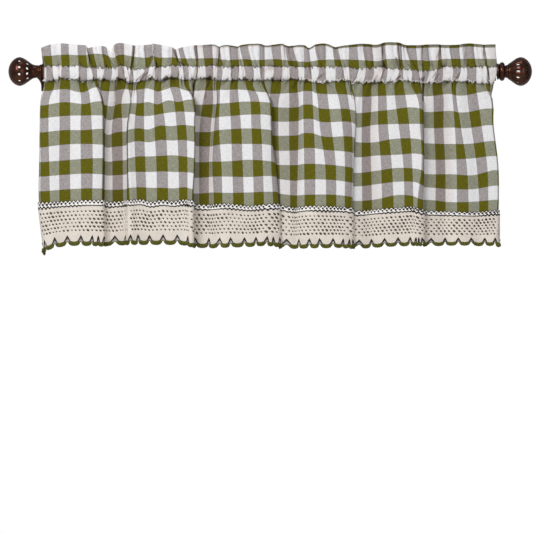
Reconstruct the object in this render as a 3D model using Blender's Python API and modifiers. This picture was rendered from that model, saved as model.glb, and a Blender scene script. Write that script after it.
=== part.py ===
"""A short gingham valance gathered on a bracketed curtain rod.

The cloth is one sheet. Its top is turned over behind the rod and sewn down twice, which makes a frilled
heading above a rod pocket. Below the pocket it hangs in soft folds, and a lace border with a scalloped
edge is sewn to its foot. Two turned finials close the rod's ends, and two eye brackets carry it.

Lengths in the tables are millimetres, measured from the rod's middle: x along the rod, y towards the
wall and z up. The finished part's origin is the middle of the left bracket's face on the wall.
"""

import math

import bpy
import numpy as np

MM = 0.001

# The rod, its finials and its brackets
ROD_RADIUS = 8.0
ROD_HALF_LENGTH = 400.0
ROD_TO_WALL = 75.0
PART_GAP = 0.3
FINIAL_NECK = 10.6
FINIAL_COLLAR = 16.5
FINIAL_BALL = 25.2
FINIAL_STEPS = 22
EYE_OUTER = 14.0
EYE_THICKNESS = 2.5
ARM_HALF_HEIGHT = 5.0
PLATE_WIDTH = 22.0
PLATE_HEIGHT = 48.0
PLATE_THICKNESS = 3.0
PLATE_DROP = 10.0
PLATE_X = ROD_HALF_LENGTH - PLATE_WIDTH / 2

# The cloth, 1.08 m wide when flat and counted across in checks of 20 mm
CHECKS_ACROSS = 54
CLOTH_THICKNESS = 1.2
LAYER_OFFSET = 0.95
SHARPEST_MITRE = 0.6
SEAM_UPPER = 10.5
SEAM_LOWER = -14.5
HEADING_TOP = 47.0
HEADING_X = (-401.0, 394.0)
POCKET_X = (-395.0, 394.5)
POCKET_SLIDE = 0.6
HEADING_SLIDE_FROM = 18.5
SKIRT_TOP = -55.0
FOLD_AT_SEAM = 0.12
FOLDS_FULL = -120.0
FOLD_MIDDLE = 3.0
POCKET_FOLD = 0.3
PUCKER_AT_SEAM = 1.7
PUCKER_IN_POCKET = 0.6
PUCKER_IN_HEADING = 3.0
PUCKER_FADE = 34.0

# The lace border and its green scalloped edge
LACE_THICKNESS = 1.0
LACE_STAND_OFF = 2.0
LACE_OVERLAP = 9.0
LACE_MIDDLE = 0.6
SCALLOPS = 48
STATIONS_PER_SCALLOP = 3
SCALLOP_RISE = 4.0
EDGE_HEIGHT = 5.5
EDGE_THICKNESS = 2.6
EDGE_GAP = 0.7

# One row for each fold of the skirt, with
# column: the check's number across the cloth
# x_top, x_low: the fold's place under the pocket and at the hem
# depth: how far it stands towards the wall at the hem, so that less than 0 is towards the room
# hem, foot: the heights of the lace's upper edge and of its scallops
FOLDS = (
    # column, x_top, x_low, depth, hem, foot
    (0.0, -398.0, -405.0, 8.0, -229, -316),
    (1.0, -396.0, -400.0, -7.0, -229, -312),
    (2.0, -384.0, -387.0, -12.0, -229, -308),
    (4.0, -350.0, -350.0, -9.0, -228, -305),
    (6.0, -312.0, -311.0, -12.0, -228, -305),
    (7.0, -298.0, -297.0, -10.0, -228, -306),
    (8.0, -292.0, -291.0, 2.0, -229, -306),
    (9.0, -278.0, -277.0, 7.0, -229, -305),
    (10.0, -259.0, -260.0, 4.0, -229, -304),
    (11.0, -248.0, -253.0, -6.0, -229, -303),
    (12.0, -242.0, -247.0, -15.0, -228, -303),
    (13.0, -232.0, -235.0, -12.0, -228, -303),
    (14.0, -217.0, -218.0, -9.0, -228, -303),
    (17.0, -160.0, -160.0, -9.0, -228, -303),
    (18.0, -145.0, -144.0, -11.0, -228, -304),
    (19.0, -134.0, -134.0, -15.0, -229, -307),
    (19.7, -136.0, -138.0, -5.0, -231, -308),
    (20.4, -137.0, -139.0, 5.0, -234, -308),
    (21.0, -126.0, -125.0, 8.0, -236, -307),
    (22.0, -109.0, -107.0, 4.0, -236, -307),
    (23.0, -100.0, -99.0, -7.0, -235, -307),
    (24.0, -85.0, -84.0, -10.0, -234, -306),
    (26.0, -48.0, -47.0, -9.0, -233, -305),
    (28.0, -14.0, -11.0, -13.0, -233, -305),
    (29.0, -2.0, 5.0, -8.0, -235, -307),
    (30.0, 12.0, 17.0, 3.0, -239, -309),
    (32.0, 46.0, 49.0, 0.0, -240, -309),
    (33.0, 60.0, 61.0, -10.0, -240, -309),
    (35.0, 96.0, 98.0, -12.0, -240, -309),
    (37.0, 134.0, 131.0, -14.0, -240, -308),
    (38.0, 148.0, 143.0, -5.0, -244, -308),
    (39.0, 160.0, 160.0, 4.0, -246, -307),
    (41.0, 194.0, 195.0, 0.0, -243, -306),
    (43.0, 234.0, 236.0, -5.0, -239, -304),
    (44.0, 249.0, 250.0, -9.0, -239, -303),
    (45.0, 264.0, 263.0, -14.0, -241, -304),
    (46.0, 268.0, 267.0, -1.0, -246, -306),
    (47.0, 286.0, 290.0, 6.0, -247, -306),
    (49.0, 318.0, 325.0, -5.0, -247, -305),
    (50.0, 333.0, 344.0, 0.0, -247, -305),
    (52.0, 366.0, 381.0, -5.0, -246, -306),
    (53.0, 380.0, 395.0, -2.0, -245, -307),
    (54.0, 385.0, 402.0, 9.0, -244, -309),
)

# Dips in the heading's upper edge: the column, how deep and how wide in columns
HEADING_DIPS = (
    # column, depth, width
    (0.3, 4.0, 0.5),
    (5.8, 4.0, 1.0),
    (8.4, 12.0, 0.5),
    (15.8, 7.0, 0.7),
    (21.2, 3.0, 0.7),
    (32.0, 5.0, 0.8),
    (37.5, 3.0, 0.8),
)

# The path of the cloth from its hem behind the rod, over the heading's top and down the front:
# its height, its distance from the rod's middle plane and the size of the puckers there
PATH = (
    # height, offset, puckers
    (SEAM_LOWER, LAYER_OFFSET, PUCKER_AT_SEAM),
    (-6.0, 10.2, PUCKER_IN_POCKET),
    (5.5, 9.7, PUCKER_IN_POCKET),
    (SEAM_UPPER, LAYER_OFFSET, PUCKER_AT_SEAM),
    (HEADING_TOP, LAYER_OFFSET, PUCKER_IN_HEADING),
    (HEADING_TOP, -LAYER_OFFSET, PUCKER_IN_HEADING),
    (SEAM_UPPER, -LAYER_OFFSET, PUCKER_AT_SEAM),
    (5.5, -9.7, PUCKER_IN_POCKET),
    (-6.0, -10.2, PUCKER_IN_POCKET),
    (SEAM_LOWER, -LAYER_OFFSET, PUCKER_AT_SEAM),
)
SKIRT_SHARES = (0.07, 0.3, 0.62, 1.0)

# The finial's outline from its tip to its seat on the rod: distance past the collar's face, and radius
FINIAL_OUTLINE = (
    # along, radius
    (47.0, 0.0),
    (46.2, 7.0),
    (43.0, 14.5),
    (38.0, 20.5),
    (32.0, 24.2),
    (27.0, FINIAL_BALL),
    (21.0, 23.6),
    (14.0, 19.3),
    (7.0, 14.4),
    (2.0, 11.0),
    (0.0, FINIAL_NECK),
    (-2.0, 14.6),
    (-5.7, FINIAL_COLLAR),
    (-9.4, 14.6),
    (-11.4, 11.5),
    (-11.4, 0.0),
)
COLLAR_WIDTH = 11.4


def fold_column(name):
    """One named column of the table of folds."""
    names = ("column", "x_top", "x_low", "depth", "hem", "foot")
    return np.array([row[names.index(name)] for row in FOLDS])


def smooth_between(column, name):
    """Cubic curve through a column of the fold table, its slope at each fold that of its two neighbours."""
    at = fold_column("column")
    value = fold_column(name)
    slope = np.gradient(value, at)
    left = np.clip(np.searchsorted(at, column, side="right") - 1, 0, len(at) - 2)
    span = at[left + 1] - at[left]
    t = (column - at[left]) / span
    rise = t * t * (3 - 2 * t)
    out_left = t * (1 - t) ** 2 * span * slope[left]
    out_right = -t * t * (1 - t) * span * slope[left + 1]
    return value[left] * (1 - rise) + value[left + 1] * rise + out_left + out_right


def ease(low, high, value):
    """0 below low, 1 above high, and an S-curve between them."""
    t = np.clip((value - low) / (high - low), 0, 1)
    return t * t * (3 - 2 * t)


def puckers(column):
    """Uneven small gathers along the sewn lines, between -1 and 1: three waves of unlike length."""
    wander = 0.3 * np.sin(0.83 * column) + 0.2 * np.sin(0.37 * column + 1.0)
    short = np.sin(2 * math.pi * (column / 1.9 + wander))
    middle = np.sin(2 * math.pi * (column / 3.1 + 0.3))
    return 0.65 * short + 0.35 * middle


def heading_dip(column):
    """How far the heading's upper edge falls below its usual height: one bell for each dip."""
    fall = np.zeros_like(column)
    for at, depth, width in HEADING_DIPS:
        fall += depth * np.exp(-(((column - at) / width) ** 2))
    return fall


def across(column, height, hem):
    """x of each column at a height: even checks at the heading, sliding into the folds' places below."""
    share = column / CHECKS_ACROSS
    top = smooth_between(column, "x_top")
    low = smooth_between(column, "x_low")
    even = HEADING_X[0] + share * (HEADING_X[1] - HEADING_X[0])
    slid = even + POCKET_SLIDE * (top - even)
    slid = POCKET_X[0] + (slid - slid[0]) * (POCKET_X[1] - POCKET_X[0]) / (slid[-1] - slid[0])
    heading = slid + ease(HEADING_SLIDE_FROM, HEADING_TOP, height) * (even - slid)
    skirt = top + np.clip((height - SKIRT_TOP) / (hem - SKIRT_TOP), 0, 1.4) * (low - top)
    return heading + ease(-SEAM_LOWER, -SKIRT_TOP, -height) * (skirt - heading)


def depth_of(column, height, amount):
    """y of each column at a height: small puckers at the sewn lines, growing into the skirt's folds."""
    fade = np.exp(np.minimum(height - SEAM_LOWER, 0) / PUCKER_FADE)
    folds = smooth_between(column, "depth") + FOLD_MIDDLE
    grown = FOLD_AT_SEAM + (1 - FOLD_AT_SEAM) * ease(-SEAM_LOWER, -FOLDS_FULL, -height)
    return folds * grown + amount * fade * puckers(column)


def plan_normal(x, y):
    """Mitred normals of a plan curve, towards the wall where it runs to the right: the sum of the two
    neighbouring runs' unit normals, long enough that both runs move out by the same distance."""
    run = np.diff(x)
    rise = np.diff(y)
    length = np.hypot(run, rise)
    before_x, before_y = -rise / length, run / length
    after_x = np.append(before_x, before_x[-1])
    after_y = np.append(before_y, before_y[-1])
    before_x = np.insert(before_x, 0, before_x[0])
    before_y = np.insert(before_y, 0, before_y[0])
    spread = np.maximum(1 + before_x * after_x + before_y * after_y, SHARPEST_MITRE)
    return (before_x + after_x) / spread, (before_y + after_y) / spread


def placed(column, height, offset, amount, hem):
    """One row of the cloth: its plan curve moved out along its normal, or straight out over the rod."""
    x = across(column, height, hem)
    y = depth_of(column, height, amount)
    over_rod = min(max(abs(offset) / ROD_RADIUS * 2 - 1, 0), 1)
    normal_x, normal_y = plan_normal(x, y)
    y = y * (1 - (1 - POCKET_FOLD) * over_rod)
    x = x + offset * (1 - over_rod) * normal_x
    y = y + offset * (over_rod + (1 - over_rod) * normal_y)
    return np.stack([x, y, np.broadcast_to(height, x.shape)], axis=-1)


def cloth_rows(column):
    """The whole sheet as rows of points, from its hem behind the rod to its foot."""
    hem = smooth_between(column, "hem")
    rows = []
    for height, offset, amount in PATH:
        at = np.full_like(column, height)
        if height > SEAM_UPPER:
            at = at - heading_dip(column)
        rows.append(placed(column, at, offset, amount, hem))
    foot = hem - LACE_OVERLAP
    for share in SKIRT_SHARES:
        at = SEAM_LOWER + share * (foot - SEAM_LOWER)
        rows.append(placed(column, at, -LAYER_OFFSET, PUCKER_AT_SEAM, hem))
    return np.array(rows)


def scallop(column):
    """Height of the scalloped edge above its lowest points: a parabola for each scallop."""
    phase = (column / CHECKS_ACROSS * SCALLOPS) % 1
    return SCALLOP_RISE * (2 * phase - 1) ** 2


def lace_rows(column):
    """The border as three rows, in front of the cloth's foot, its lowest row scalloped."""
    hem = smooth_between(column, "hem")
    foot = smooth_between(column, "foot") + EDGE_HEIGHT + EDGE_GAP + scallop(column)
    middle = hem + LACE_MIDDLE * (foot - hem)
    stand_off = -LAYER_OFFSET - LACE_STAND_OFF
    return np.array([placed(column, at, stand_off, PUCKER_AT_SEAM, hem) for at in (hem, middle, foot)])


def edge_rows(column):
    """The green edge as a closed four-sided roll under the lace's scallops."""
    hem = smooth_between(column, "hem")
    middle = smooth_between(column, "foot") + scallop(column) + EDGE_HEIGHT / 2
    ring = ((EDGE_HEIGHT / 2, 0), (0, -EDGE_THICKNESS / 2), (-EDGE_HEIGHT / 2, 0), (0, EDGE_THICKNESS / 2))
    stand_off = -LAYER_OFFSET - LACE_STAND_OFF
    return np.array([placed(column, middle + up, stand_off + out, PUCKER_AT_SEAM, hem) for up, out in ring])


def grid_faces(rows, columns, closed=False):
    """Quads of a grid of points, facing the room, joined round when the rows close a tube."""
    across_rows = rows if closed else rows - 1
    faces = []
    for row in range(across_rows):
        for column in range(columns - 1):
            a = row * columns + column
            b = (row + 1) % rows * columns + column
            faces.append((a, b, b + 1, a + 1))
    return faces


def end_caps(rows, columns):
    """The two end faces of a tube made of closed rows."""
    first = tuple(row * columns for row in reversed(range(rows)))
    last = tuple(row * columns + columns - 1 for row in range(rows))
    return [first, last]


def finish(name, red, green, blue, roughness, metallic=0.0):
    """A plain material."""
    material = bpy.data.materials.new(name)
    material.use_nodes = True
    shader = material.node_tree.nodes["Principled BSDF"]
    shader.inputs["Base Color"].default_value = (red, green, blue, 1)
    shader.inputs["Roughness"].default_value = roughness
    shader.inputs["Metallic"].default_value = metallic
    return material


def add_object(name, mesh, material, parent):
    """An object for a finished mesh, in the valance's collection."""
    made = bpy.data.objects.new(name, mesh)
    bpy.data.collections["window_valance"].objects.link(made)
    made.data.materials.append(material)
    made.parent = parent
    return made


def mesh_of(name, points, faces):
    """A mesh from points in millimetres."""
    mesh = bpy.data.meshes.new(name)
    mesh.from_pydata((np.reshape(points, (-1, 3)) * MM).tolist(), [], faces)
    mesh.update()
    mesh.shade_smooth()
    return mesh


def sheet(name, rows, thickness, material, parent):
    """An open grid of points given its thickness by a Solidify."""
    made = add_object(name, mesh_of(name, rows, grid_faces(*rows.shape[:2])), material, parent)
    wall = made.modifiers.new("thickness", "SOLIDIFY")
    wall.thickness = thickness * MM
    wall.offset = 0
    return made


def finial(name, side, material, parent):
    """A turned ball, neck and collar, its outline screwed round the rod's axis; side is -1 or 1."""
    outline = [(radius, 0.0, along) for along, radius in FINIAL_OUTLINE]
    mesh = mesh_of(name, outline, [])
    mesh.edges.add(len(outline) - 1)
    mesh.edges.foreach_set("vertices", [end for at in range(len(outline) - 1) for end in (at, at + 1)])
    made = add_object(name, mesh, material, parent)
    made.location = (side * (ROD_HALF_LENGTH + PART_GAP + COLLAR_WIDTH) * MM, 0, 0)
    made.rotation_euler = (0, side * math.pi / 2, 0)
    turn = made.modifiers.new("turn", "SCREW")
    turn.steps = FINIAL_STEPS
    turn.render_steps = FINIAL_STEPS
    turn.use_merge_vertices = True
    turn.merge_threshold = 0.00001
    return made


def rod(material, parent):
    """The plain round rod."""
    bpy.ops.mesh.primitive_cylinder_add(
        vertices=24,
        radius=ROD_RADIUS * MM,
        depth=2 * ROD_HALF_LENGTH * MM,
        rotation=(0, math.pi / 2, 0),
    )
    made = bpy.context.object
    made.name = "rod"
    made.data.materials.append(material)
    made.data.shade_smooth()
    made.data.set_sharp_from_angle(angle=math.radians(40))
    for collection in list(made.users_collection):
        collection.objects.unlink(made)
    bpy.data.collections["window_valance"].objects.link(made)
    made.parent = parent
    return made


def eye_outline():
    """The bracket's side: two circles round the rod, and an arm from the eye back to the wall plate."""
    spread = math.asin(ARM_HALF_HEIGHT / EYE_OUTER)
    turns = np.linspace(spread, 2 * math.pi - spread, 20)
    outside = [(EYE_OUTER * math.cos(turn), EYE_OUTER * math.sin(turn)) for turn in turns]
    reach = ROD_TO_WALL - PLATE_THICKNESS / 2
    outside += [(reach, -ARM_HALF_HEIGHT), (reach, ARM_HALF_HEIGHT)]
    inner = ROD_RADIUS + PART_GAP
    inside = [(inner * math.cos(turn), inner * math.sin(turn)) for turn in np.linspace(0, 2 * math.pi, 25)[:-1]]
    return outside, inside


def arm_mesh(name):
    """The eye and its arm: a flat outline with a hole, given its thickness along the rod."""
    outline = bpy.data.curves.new(name, "CURVE")
    outline.dimensions = "2D"
    outline.fill_mode = "BOTH"
    outline.extrude = EYE_THICKNESS / 2 * MM
    for points in eye_outline():
        spline = outline.splines.new("POLY")
        spline.points.add(len(points) - 1)
        for point, (out, up) in zip(spline.points, points):
            point.co = (out * MM, up * MM, 0, 1)
        spline.use_cyclic_u = True
    holder = bpy.data.objects.new(name + "_outline", outline)
    bpy.context.scene.collection.objects.link(holder)
    mesh = bpy.data.meshes.new_from_object(holder.evaluated_get(bpy.context.evaluated_depsgraph_get()))
    bpy.data.objects.remove(holder)
    return mesh


def bracket(name, side, material, parent):
    """An eye on an arm, joined to the plate that is fixed to the wall; side is -1 or 1."""
    made = add_object(name, arm_mesh(name), material, parent)
    made.location = (side * (ROD_HALF_LENGTH - EYE_THICKNESS / 2 - PART_GAP) * MM, 0, 0)
    made.rotation_euler = (math.pi / 2, 0, math.pi / 2)
    weld = made.modifiers.new("weld", "WELD")
    weld.merge_threshold = 0.00001
    bpy.ops.mesh.primitive_cube_add(
        size=1,
        location=(side * PLATE_X * MM, (ROD_TO_WALL - PLATE_THICKNESS / 2) * MM, -PLATE_DROP * MM),
    )
    plate = bpy.context.object
    plate.name = name + "_plate"
    plate.data.transform(
        ((PLATE_WIDTH * MM, 0, 0, 0), (0, PLATE_THICKNESS * MM, 0, 0), (0, 0, PLATE_HEIGHT * MM, 0), (0, 0, 0, 1))
    )
    plate.parent = parent
    plate.hide_render = True
    plate.display_type = "WIRE"
    for collection in list(plate.users_collection):
        collection.objects.unlink(plate)
    bpy.data.collections["joined_shapes"].objects.link(plate)
    join = made.modifiers.new("plate", "BOOLEAN")
    join.operation = "UNION"
    join.object = plate
    return made



def main():
    for old in list(bpy.data.objects):
        bpy.data.objects.remove(old)
    for name in ("window_valance", "joined_shapes"):
        bpy.context.scene.collection.children.link(bpy.data.collections.new(name))
    gingham = finish("gingham cotton", 0.42, 0.42, 0.30, 0.9)
    cream = finish("cream lace", 0.75, 0.68, 0.61, 0.95)
    green = finish("green edging", 0.07, 0.08, 0.01, 0.9)
    bronze = finish("dark bronze", 0.05, 0.03, 0.02, 0.35, 0.8)

    middle = bpy.data.objects.new("rod_middle", None)
    bpy.context.scene.collection.objects.link(middle)
    middle.location = (PLATE_X * MM, -ROD_TO_WALL * MM, PLATE_DROP * MM)

    column = np.linspace(0, CHECKS_ACROSS, SCALLOPS * STATIONS_PER_SCALLOP + 1)
    sheet("valance_cloth", cloth_rows(column), CLOTH_THICKNESS, gingham, middle)
    sheet("lace_border", lace_rows(column), LACE_THICKNESS, cream, middle)
    edge = edge_rows(column)
    faces = grid_faces(*edge.shape[:2], closed=True) + end_caps(*edge.shape[:2])
    add_object("scallop_edging", mesh_of("scallop_edging", edge, faces), green, middle)
    rod(bronze, middle)
    for side, hand in ((-1, "left"), (1, "right")):
        finial("finial_" + hand, side, bronze, middle)
        bracket("bracket_" + hand, side, bronze, middle)


main()
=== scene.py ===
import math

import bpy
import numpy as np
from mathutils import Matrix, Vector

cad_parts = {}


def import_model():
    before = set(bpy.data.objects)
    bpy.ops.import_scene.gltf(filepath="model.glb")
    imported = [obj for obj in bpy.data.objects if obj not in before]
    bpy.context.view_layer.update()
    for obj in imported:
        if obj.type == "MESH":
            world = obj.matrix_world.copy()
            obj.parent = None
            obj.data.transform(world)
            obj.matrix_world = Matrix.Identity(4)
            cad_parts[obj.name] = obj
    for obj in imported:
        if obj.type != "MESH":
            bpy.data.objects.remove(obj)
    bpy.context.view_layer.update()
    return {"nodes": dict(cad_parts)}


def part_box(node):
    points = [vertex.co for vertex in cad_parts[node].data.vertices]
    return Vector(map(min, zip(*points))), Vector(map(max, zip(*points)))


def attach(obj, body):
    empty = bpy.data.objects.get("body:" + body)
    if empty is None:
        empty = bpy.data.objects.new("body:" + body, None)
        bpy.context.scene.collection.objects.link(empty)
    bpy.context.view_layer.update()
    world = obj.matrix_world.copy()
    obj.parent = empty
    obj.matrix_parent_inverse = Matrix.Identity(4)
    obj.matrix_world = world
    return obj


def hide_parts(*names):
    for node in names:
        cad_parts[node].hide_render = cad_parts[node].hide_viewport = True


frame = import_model()

# A gingham valance gathered on its rod, in its finished look: checked cotton, net lace with a scalloped
# edge, and a bronze rod with pierced ball finials. Lengths are millimetres from the rod's middle, x along
# the rod, y towards the wall and z up, until a mesh is made.

MM = 0.001
ROD_LOW, ROD_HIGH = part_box("rod")
ROD_MIDDLE = np.array((ROD_LOW + ROD_HIGH) / 2)
ROD_RADIUS = (ROD_HIGH[2] - ROD_LOW[2]) / 2 / MM

# The view: the photograph's width at the cloth, and its middle from the rod's middle
VIEW_WIDTH = 933.8
VIEW_MIDDLE_X = -6.5
VIEW_MIDDLE_Z = -341.6
LENS = 250.0
SENSOR = 36.0
FLOOR_DROP = 1500.0
FLOOR_SIDE = 6000.0

# The cloth, counted across in checks, from its left edge
CHECKS_ACROSS = 65
LAYER_OFFSET = 0.95
SHARPEST_MITRE = 0.6
SEAM_UPPER = 10.5
SEAM_LOWER = -14.5
HEADING_TOP = 47.0
POCKET_BULGE = 9.4
FOLD_AT_SEAM = 0.15
FOLDS_FULL = -85.0
FOLD_MIDDLE = 3.0
POCKET_FOLD = 0.3
PUCKER_AT_SEAM = 2.2
PUCKER_IN_POCKET = 0.9
PUCKER_IN_HEADING = 2.6
PUCKER_FADE = 30.0
PLEATS_PER_CHECK = 0.9
PLEAT_SLANT = 0.5
SEAM_CLEARANCE = 1.2
CREASE_DEPTH = 1.3
CLOTH_WALL = 0.7
STATIONS_PER_CHECK = 7
SKIRT_ROWS = 52

# Shade painted into the cloth, 0 to 1, and the sizes in millimetres that it depends on
VALLEY_SHADE = 0.13
VALLEY_STARTS = -1.0
VALLEY_SPAN = 7.0
HIDDEN_CHECK = 4.5
NEIGHBOUR_SHADE = 0.7
PLEAT_SHADE = 0.9
PLEAT_EDGE = 0.36
PLEAT_REACH = 5.0
RIM_SHADE = 0.5
RIM_HEIGHT = 2.2
# How far a pleat pulls the rows at a seam, in rows, at the left and at the right, and its reach
ROW_PULL = 0.32
ROW_PULL_RIGHT = 0.2
ROW_PULL_REACH = 8.0

# The lace border, counted across in columns of the folds that it hangs in
LACE_STAND_OFF = 2.0
LACE_OVERLAP = 9.0
LACE_WALL = 1.3
LACE_COLUMNS = 54
LACE_HOLES = 144
CELL = 4
SCALLOP_RISE = 4.2
ARC_HALF_HEIGHT = 4.0
ARC_NARROWING = 0.16

# Heights at which CHECKS gives each check line's place along the rod: in the heading, in the pocket, under
# the lower seam, at the skirt's first white row, twice further down, at the lace's top and at its foot
LEVELS = (39.4, -2.6, -25.4, -44.7, -93.7, -167.3, -221.6, -308.0)

# Each line between two checks, from the left edge: its x at those heights, its fold's depth at the lace,
# less than 0 towards the room, and the height of the scallops there. Checks hidden in a fold lie close.
# The places and heights are measured on the photograph, and the depths are a guess.
CHECKS = (
    # check, heading, pocket, seam, first, upper, lower, hem, foot_x, depth, foot
    (0, -399.6, -396.3, -395.7, -399.4, -402.2, -404.4, -404.9, -395.6, 8, -320.3),
    (1, -399.0, -391.9, -394.0, -398.9, -401.4, -401.0, -401.3, -391.9, -7, -316.1),
    (2, -384.4, -380.0, -379.0, -385.2, -387.6, -386.2, -385.2, -382.0, -12, -311.2),
    (3, -366.5, -365.8, -368.4, -369.1, -368.7, -369.4, -369.0, -367.7, -10, -308.0),
    (4, -353.2, -350.4, -350.2, -350.4, -349.9, -350.5, -349.6, -349.0, -9, -306.0),
    (5, -337.8, -335.0, -335.0, -331.5, -331.9, -331.2, -330.7, -330.7, -10, -305.9),
    (6, -322.2, -320.1, -320.1, -316.1, -312.2, -310.3, -311.4, -311.0, -12, -306.2),
    (7, -321.0, -311.3, -305.5, -297.4, -294.4, -294.4, -295.4, -293.4, -10, -307.4),
    (8, -311.5, -303.1, -302.0, -296.4, -293.9, -293.9, -294.9, -292.9, -6, -307.4),
    (9, -296.1, -291.2, -297.8, -295.2, -293.3, -293.3, -294.2, -292.2, -4, -307.4),
    (10, -286.5, -276.6, -280.7, -283.5, -289.4, -290.4, -290.8, -288.0, 1, -306.3),
    (11, -273.1, -266.3, -269.5, -270.9, -277.6, -277.0, -276.8, -275.5, 6, -306.1),
    (12, -256.1, -255.4, -253.3, -259.1, -258.9, -258.2, -257.6, -258.1, 6, -304.9),
    (13, -241.3, -245.1, -248.3, -244.6, -249.8, -249.8, -250.0, -250.0, -4, -305.0),
    (14, -237.6, -240.0, -240.0, -242.2, -247.4, -247.7, -245.3, -245.3, -15, -304.1),
    (15, -221.6, -221.1, -235.1, -234.1, -237.7, -236.0, -233.7, -233.7, -12, -304.3),
    (16, -206.6, -213.2, -219.4, -220.8, -220.8, -218.5, -216.7, -216.7, -9, -304.4),
    (17, -205.3, -201.8, -203.2, -203.6, -202.7, -199.0, -198.2, -198.2, -9, -304.3),
    (18, -191.0, -190.3, -190.4, -189.7, -183.6, -179.4, -178.7, -178.7, -9, -304.3),
    (19, -171.7, -173.3, -175.9, -170.3, -163.8, -160.3, -159.3, -159.3, -9, -304.3),
    (20, -167.5, -159.1, -158.7, -154.2, -147.2, -144.5, -144.4, -144.4, -11, -306.3),
    (21, -161.5, -152.1, -150.0, -137.2, -133.8, -134.3, -137.2, -137.2, -15, -308.4),
    (22, -151.9, -141.9, -141.9, -136.1, -133.4, -133.9, -136.7, -136.7, -8, -308.4),
    (23, -133.9, -129.6, -135.6, -135.3, -133.0, -133.5, -136.1, -136.1, 1, -309.4),
    (24, -128.9, -126.5, -131.9, -134.2, -132.6, -133.0, -135.6, -135.6, 3, -309.4),
    (25, -118.4, -113.2, -112.5, -116.5, -123.3, -124.7, -124.7, -124.7, 5, -309.6),
    (26, -101.4, -99.5, -100.6, -99.9, -103.7, -107.0, -107.4, -107.4, 7, -309.4),
    (27, -90.4, -93.4, -94.6, -93.0, -97.1, -100.6, -98.2, -98.2, 2, -310.0),
    (28, -86.9, -83.2, -86.9, -87.6, -89.0, -84.8, -83.2, -83.2, -9, -309.4),
    (29, -72.4, -69.4, -70.6, -71.0, -68.7, -66.6, -64.8, -64.8, -10, -308.8),
    (30, -56.8, -54.0, -56.8, -55.5, -51.2, -48.0, -46.0, -46.0, -9, -308.2),
    (31, -53.1, -43.6, -42.4, -36.1, -32.8, -30.0, -28.6, -28.6, -11, -307.5),
    (32, -37.7, -28.2, -30.1, -21.4, -16.5, -13.0, -11.2, -11.2, -13, -306.2),
    (33, -18.9, -18.0, -13.0, -4.2, 0.0, 1.4, 4.4, 6.0, -10, -307.2),
    (34, -10.2, -9.6, -9.8, -2.8, 0.6, 7.9, 12.4, 14.6, -6, -308.7),
    (35, 1.8, 6.5, 1.2, -0.7, 1.3, 8.5, 13.0, 15.2, 1, -310.8),
    (36, 18.9, 21.5, 19.8, 15.8, 14.2, 16.3, 17.5, 19.5, 1, -311.0),
    (37, 27.2, 33.1, 32.8, 33.3, 32.9, 34.2, 34.7, 34.7, 3, -311.1),
    (38, 39.4, 49.6, 48.4, 50.1, 50.3, 48.9, 47.7, 47.7, 4, -310.9),
    (39, 58.7, 59.7, 58.2, 58.3, 58.9, 60.1, 60.6, 60.6, -6, -310.6),
    (40, 66.8, 72.2, 73.4, 74.3, 76.4, 79.2, 79.0, 79.0, -11, -310.1),
    (41, 79.0, 85.0, 79.5, 82.5, 86.5, 96.5, 97.8, 97.8, -12, -310.0),
    (42, 96.7, 97.6, 98.6, 100.9, 106.5, 114.9, 115.6, 115.6, -13, -309.4),
    (43, 109.1, 114.1, 113.7, 119.1, 126.0, 130.7, 130.2, 130.2, -14, -310.2),
    (44, 119.8, 128.6, 131.8, 135.3, 142.1, 143.4, 141.9, 141.9, -10, -311.3),
    (45, 138.1, 138.1, 140.5, 146.4, 148.6, 144.3, 142.8, 142.8, -6, -311.4),
    (46, 153.1, 153.7, 144.2, 147.4, 149.3, 145.0, 143.8, 143.8, -4, -310.5),
    (47, 162.2, 166.6, 161.9, 161.2, 160.1, 160.1, 160.8, 160.8, 1, -310.7),
    (48, 179.1, 182.0, 177.0, 177.7, 175.7, 177.0, 178.2, 178.2, 5, -309.2),
    (49, 194.3, 195.9, 188.9, 189.2, 189.7, 194.8, 196.2, 196.2, 1, -308.4),
    (50, 202.5, 205.3, 201.8, 203.4, 206.4, 213.4, 216.0, 216.0, -3, -307.1),
    (51, 221.6, 224.8, 216.9, 218.6, 225.0, 233.7, 235.1, 235.1, -5, -306.6),
    (52, 229.9, 232.3, 233.5, 237.2, 243.5, 249.0, 250.9, 250.9, -9, -305.9),
    (53, 237.6, 248.4, 247.6, 257.0, 261.8, 264.6, 258.2, 257.0, -13, -306.3),
    (54, 255.6, 260.5, 264.2, 266.0, 267.0, 267.7, 267.0, 267.0, -10, -306.5),
    (55, 265.3, 265.6, 267.4, 267.4, 268.1, 268.2, 268.1, 268.1, -5, -306.4),
    (56, 276.1, 278.6, 271.6, 268.8, 269.1, 268.8, 268.8, 268.8, -2, -307.4),
    (57, 295.0, 290.8, 284.2, 285.8, 286.6, 290.0, 289.6, 289.6, 3, -306.4),
    (58, 300.3, 302.4, 301.5, 303.8, 304.0, 307.3, 307.7, 307.7, 6, -305.5),
    (59, 313.6, 319.2, 317.1, 319.6, 323.6, 327.1, 327.6, 327.6, -2, -305.5),
    (60, 331.7, 333.1, 325.5, 326.2, 333.4, 344.4, 347.2, 347.2, -4, -305.4),
    (61, 342.0, 344.8, 344.1, 345.5, 351.8, 362.0, 365.8, 365.8, -1, -306.3),
    (62, 356.7, 360.7, 360.2, 363.4, 370.2, 380.4, 382.2, 380.5, -3, -306.1),
    (63, 373.5, 378.6, 378.1, 385.2, 388.7, 397.3, 398.0, 392.0, -4, -306.0),
    (64, 375.3, 383.0, 385.4, 385.6, 389.1, 397.7, 398.6, 397.6, -1, -307.0),
    (65, 394.6, 396.7, 390.3, 386.1, 389.6, 398.2, 399.2, 399.8, 9, -309.0),
)

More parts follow.
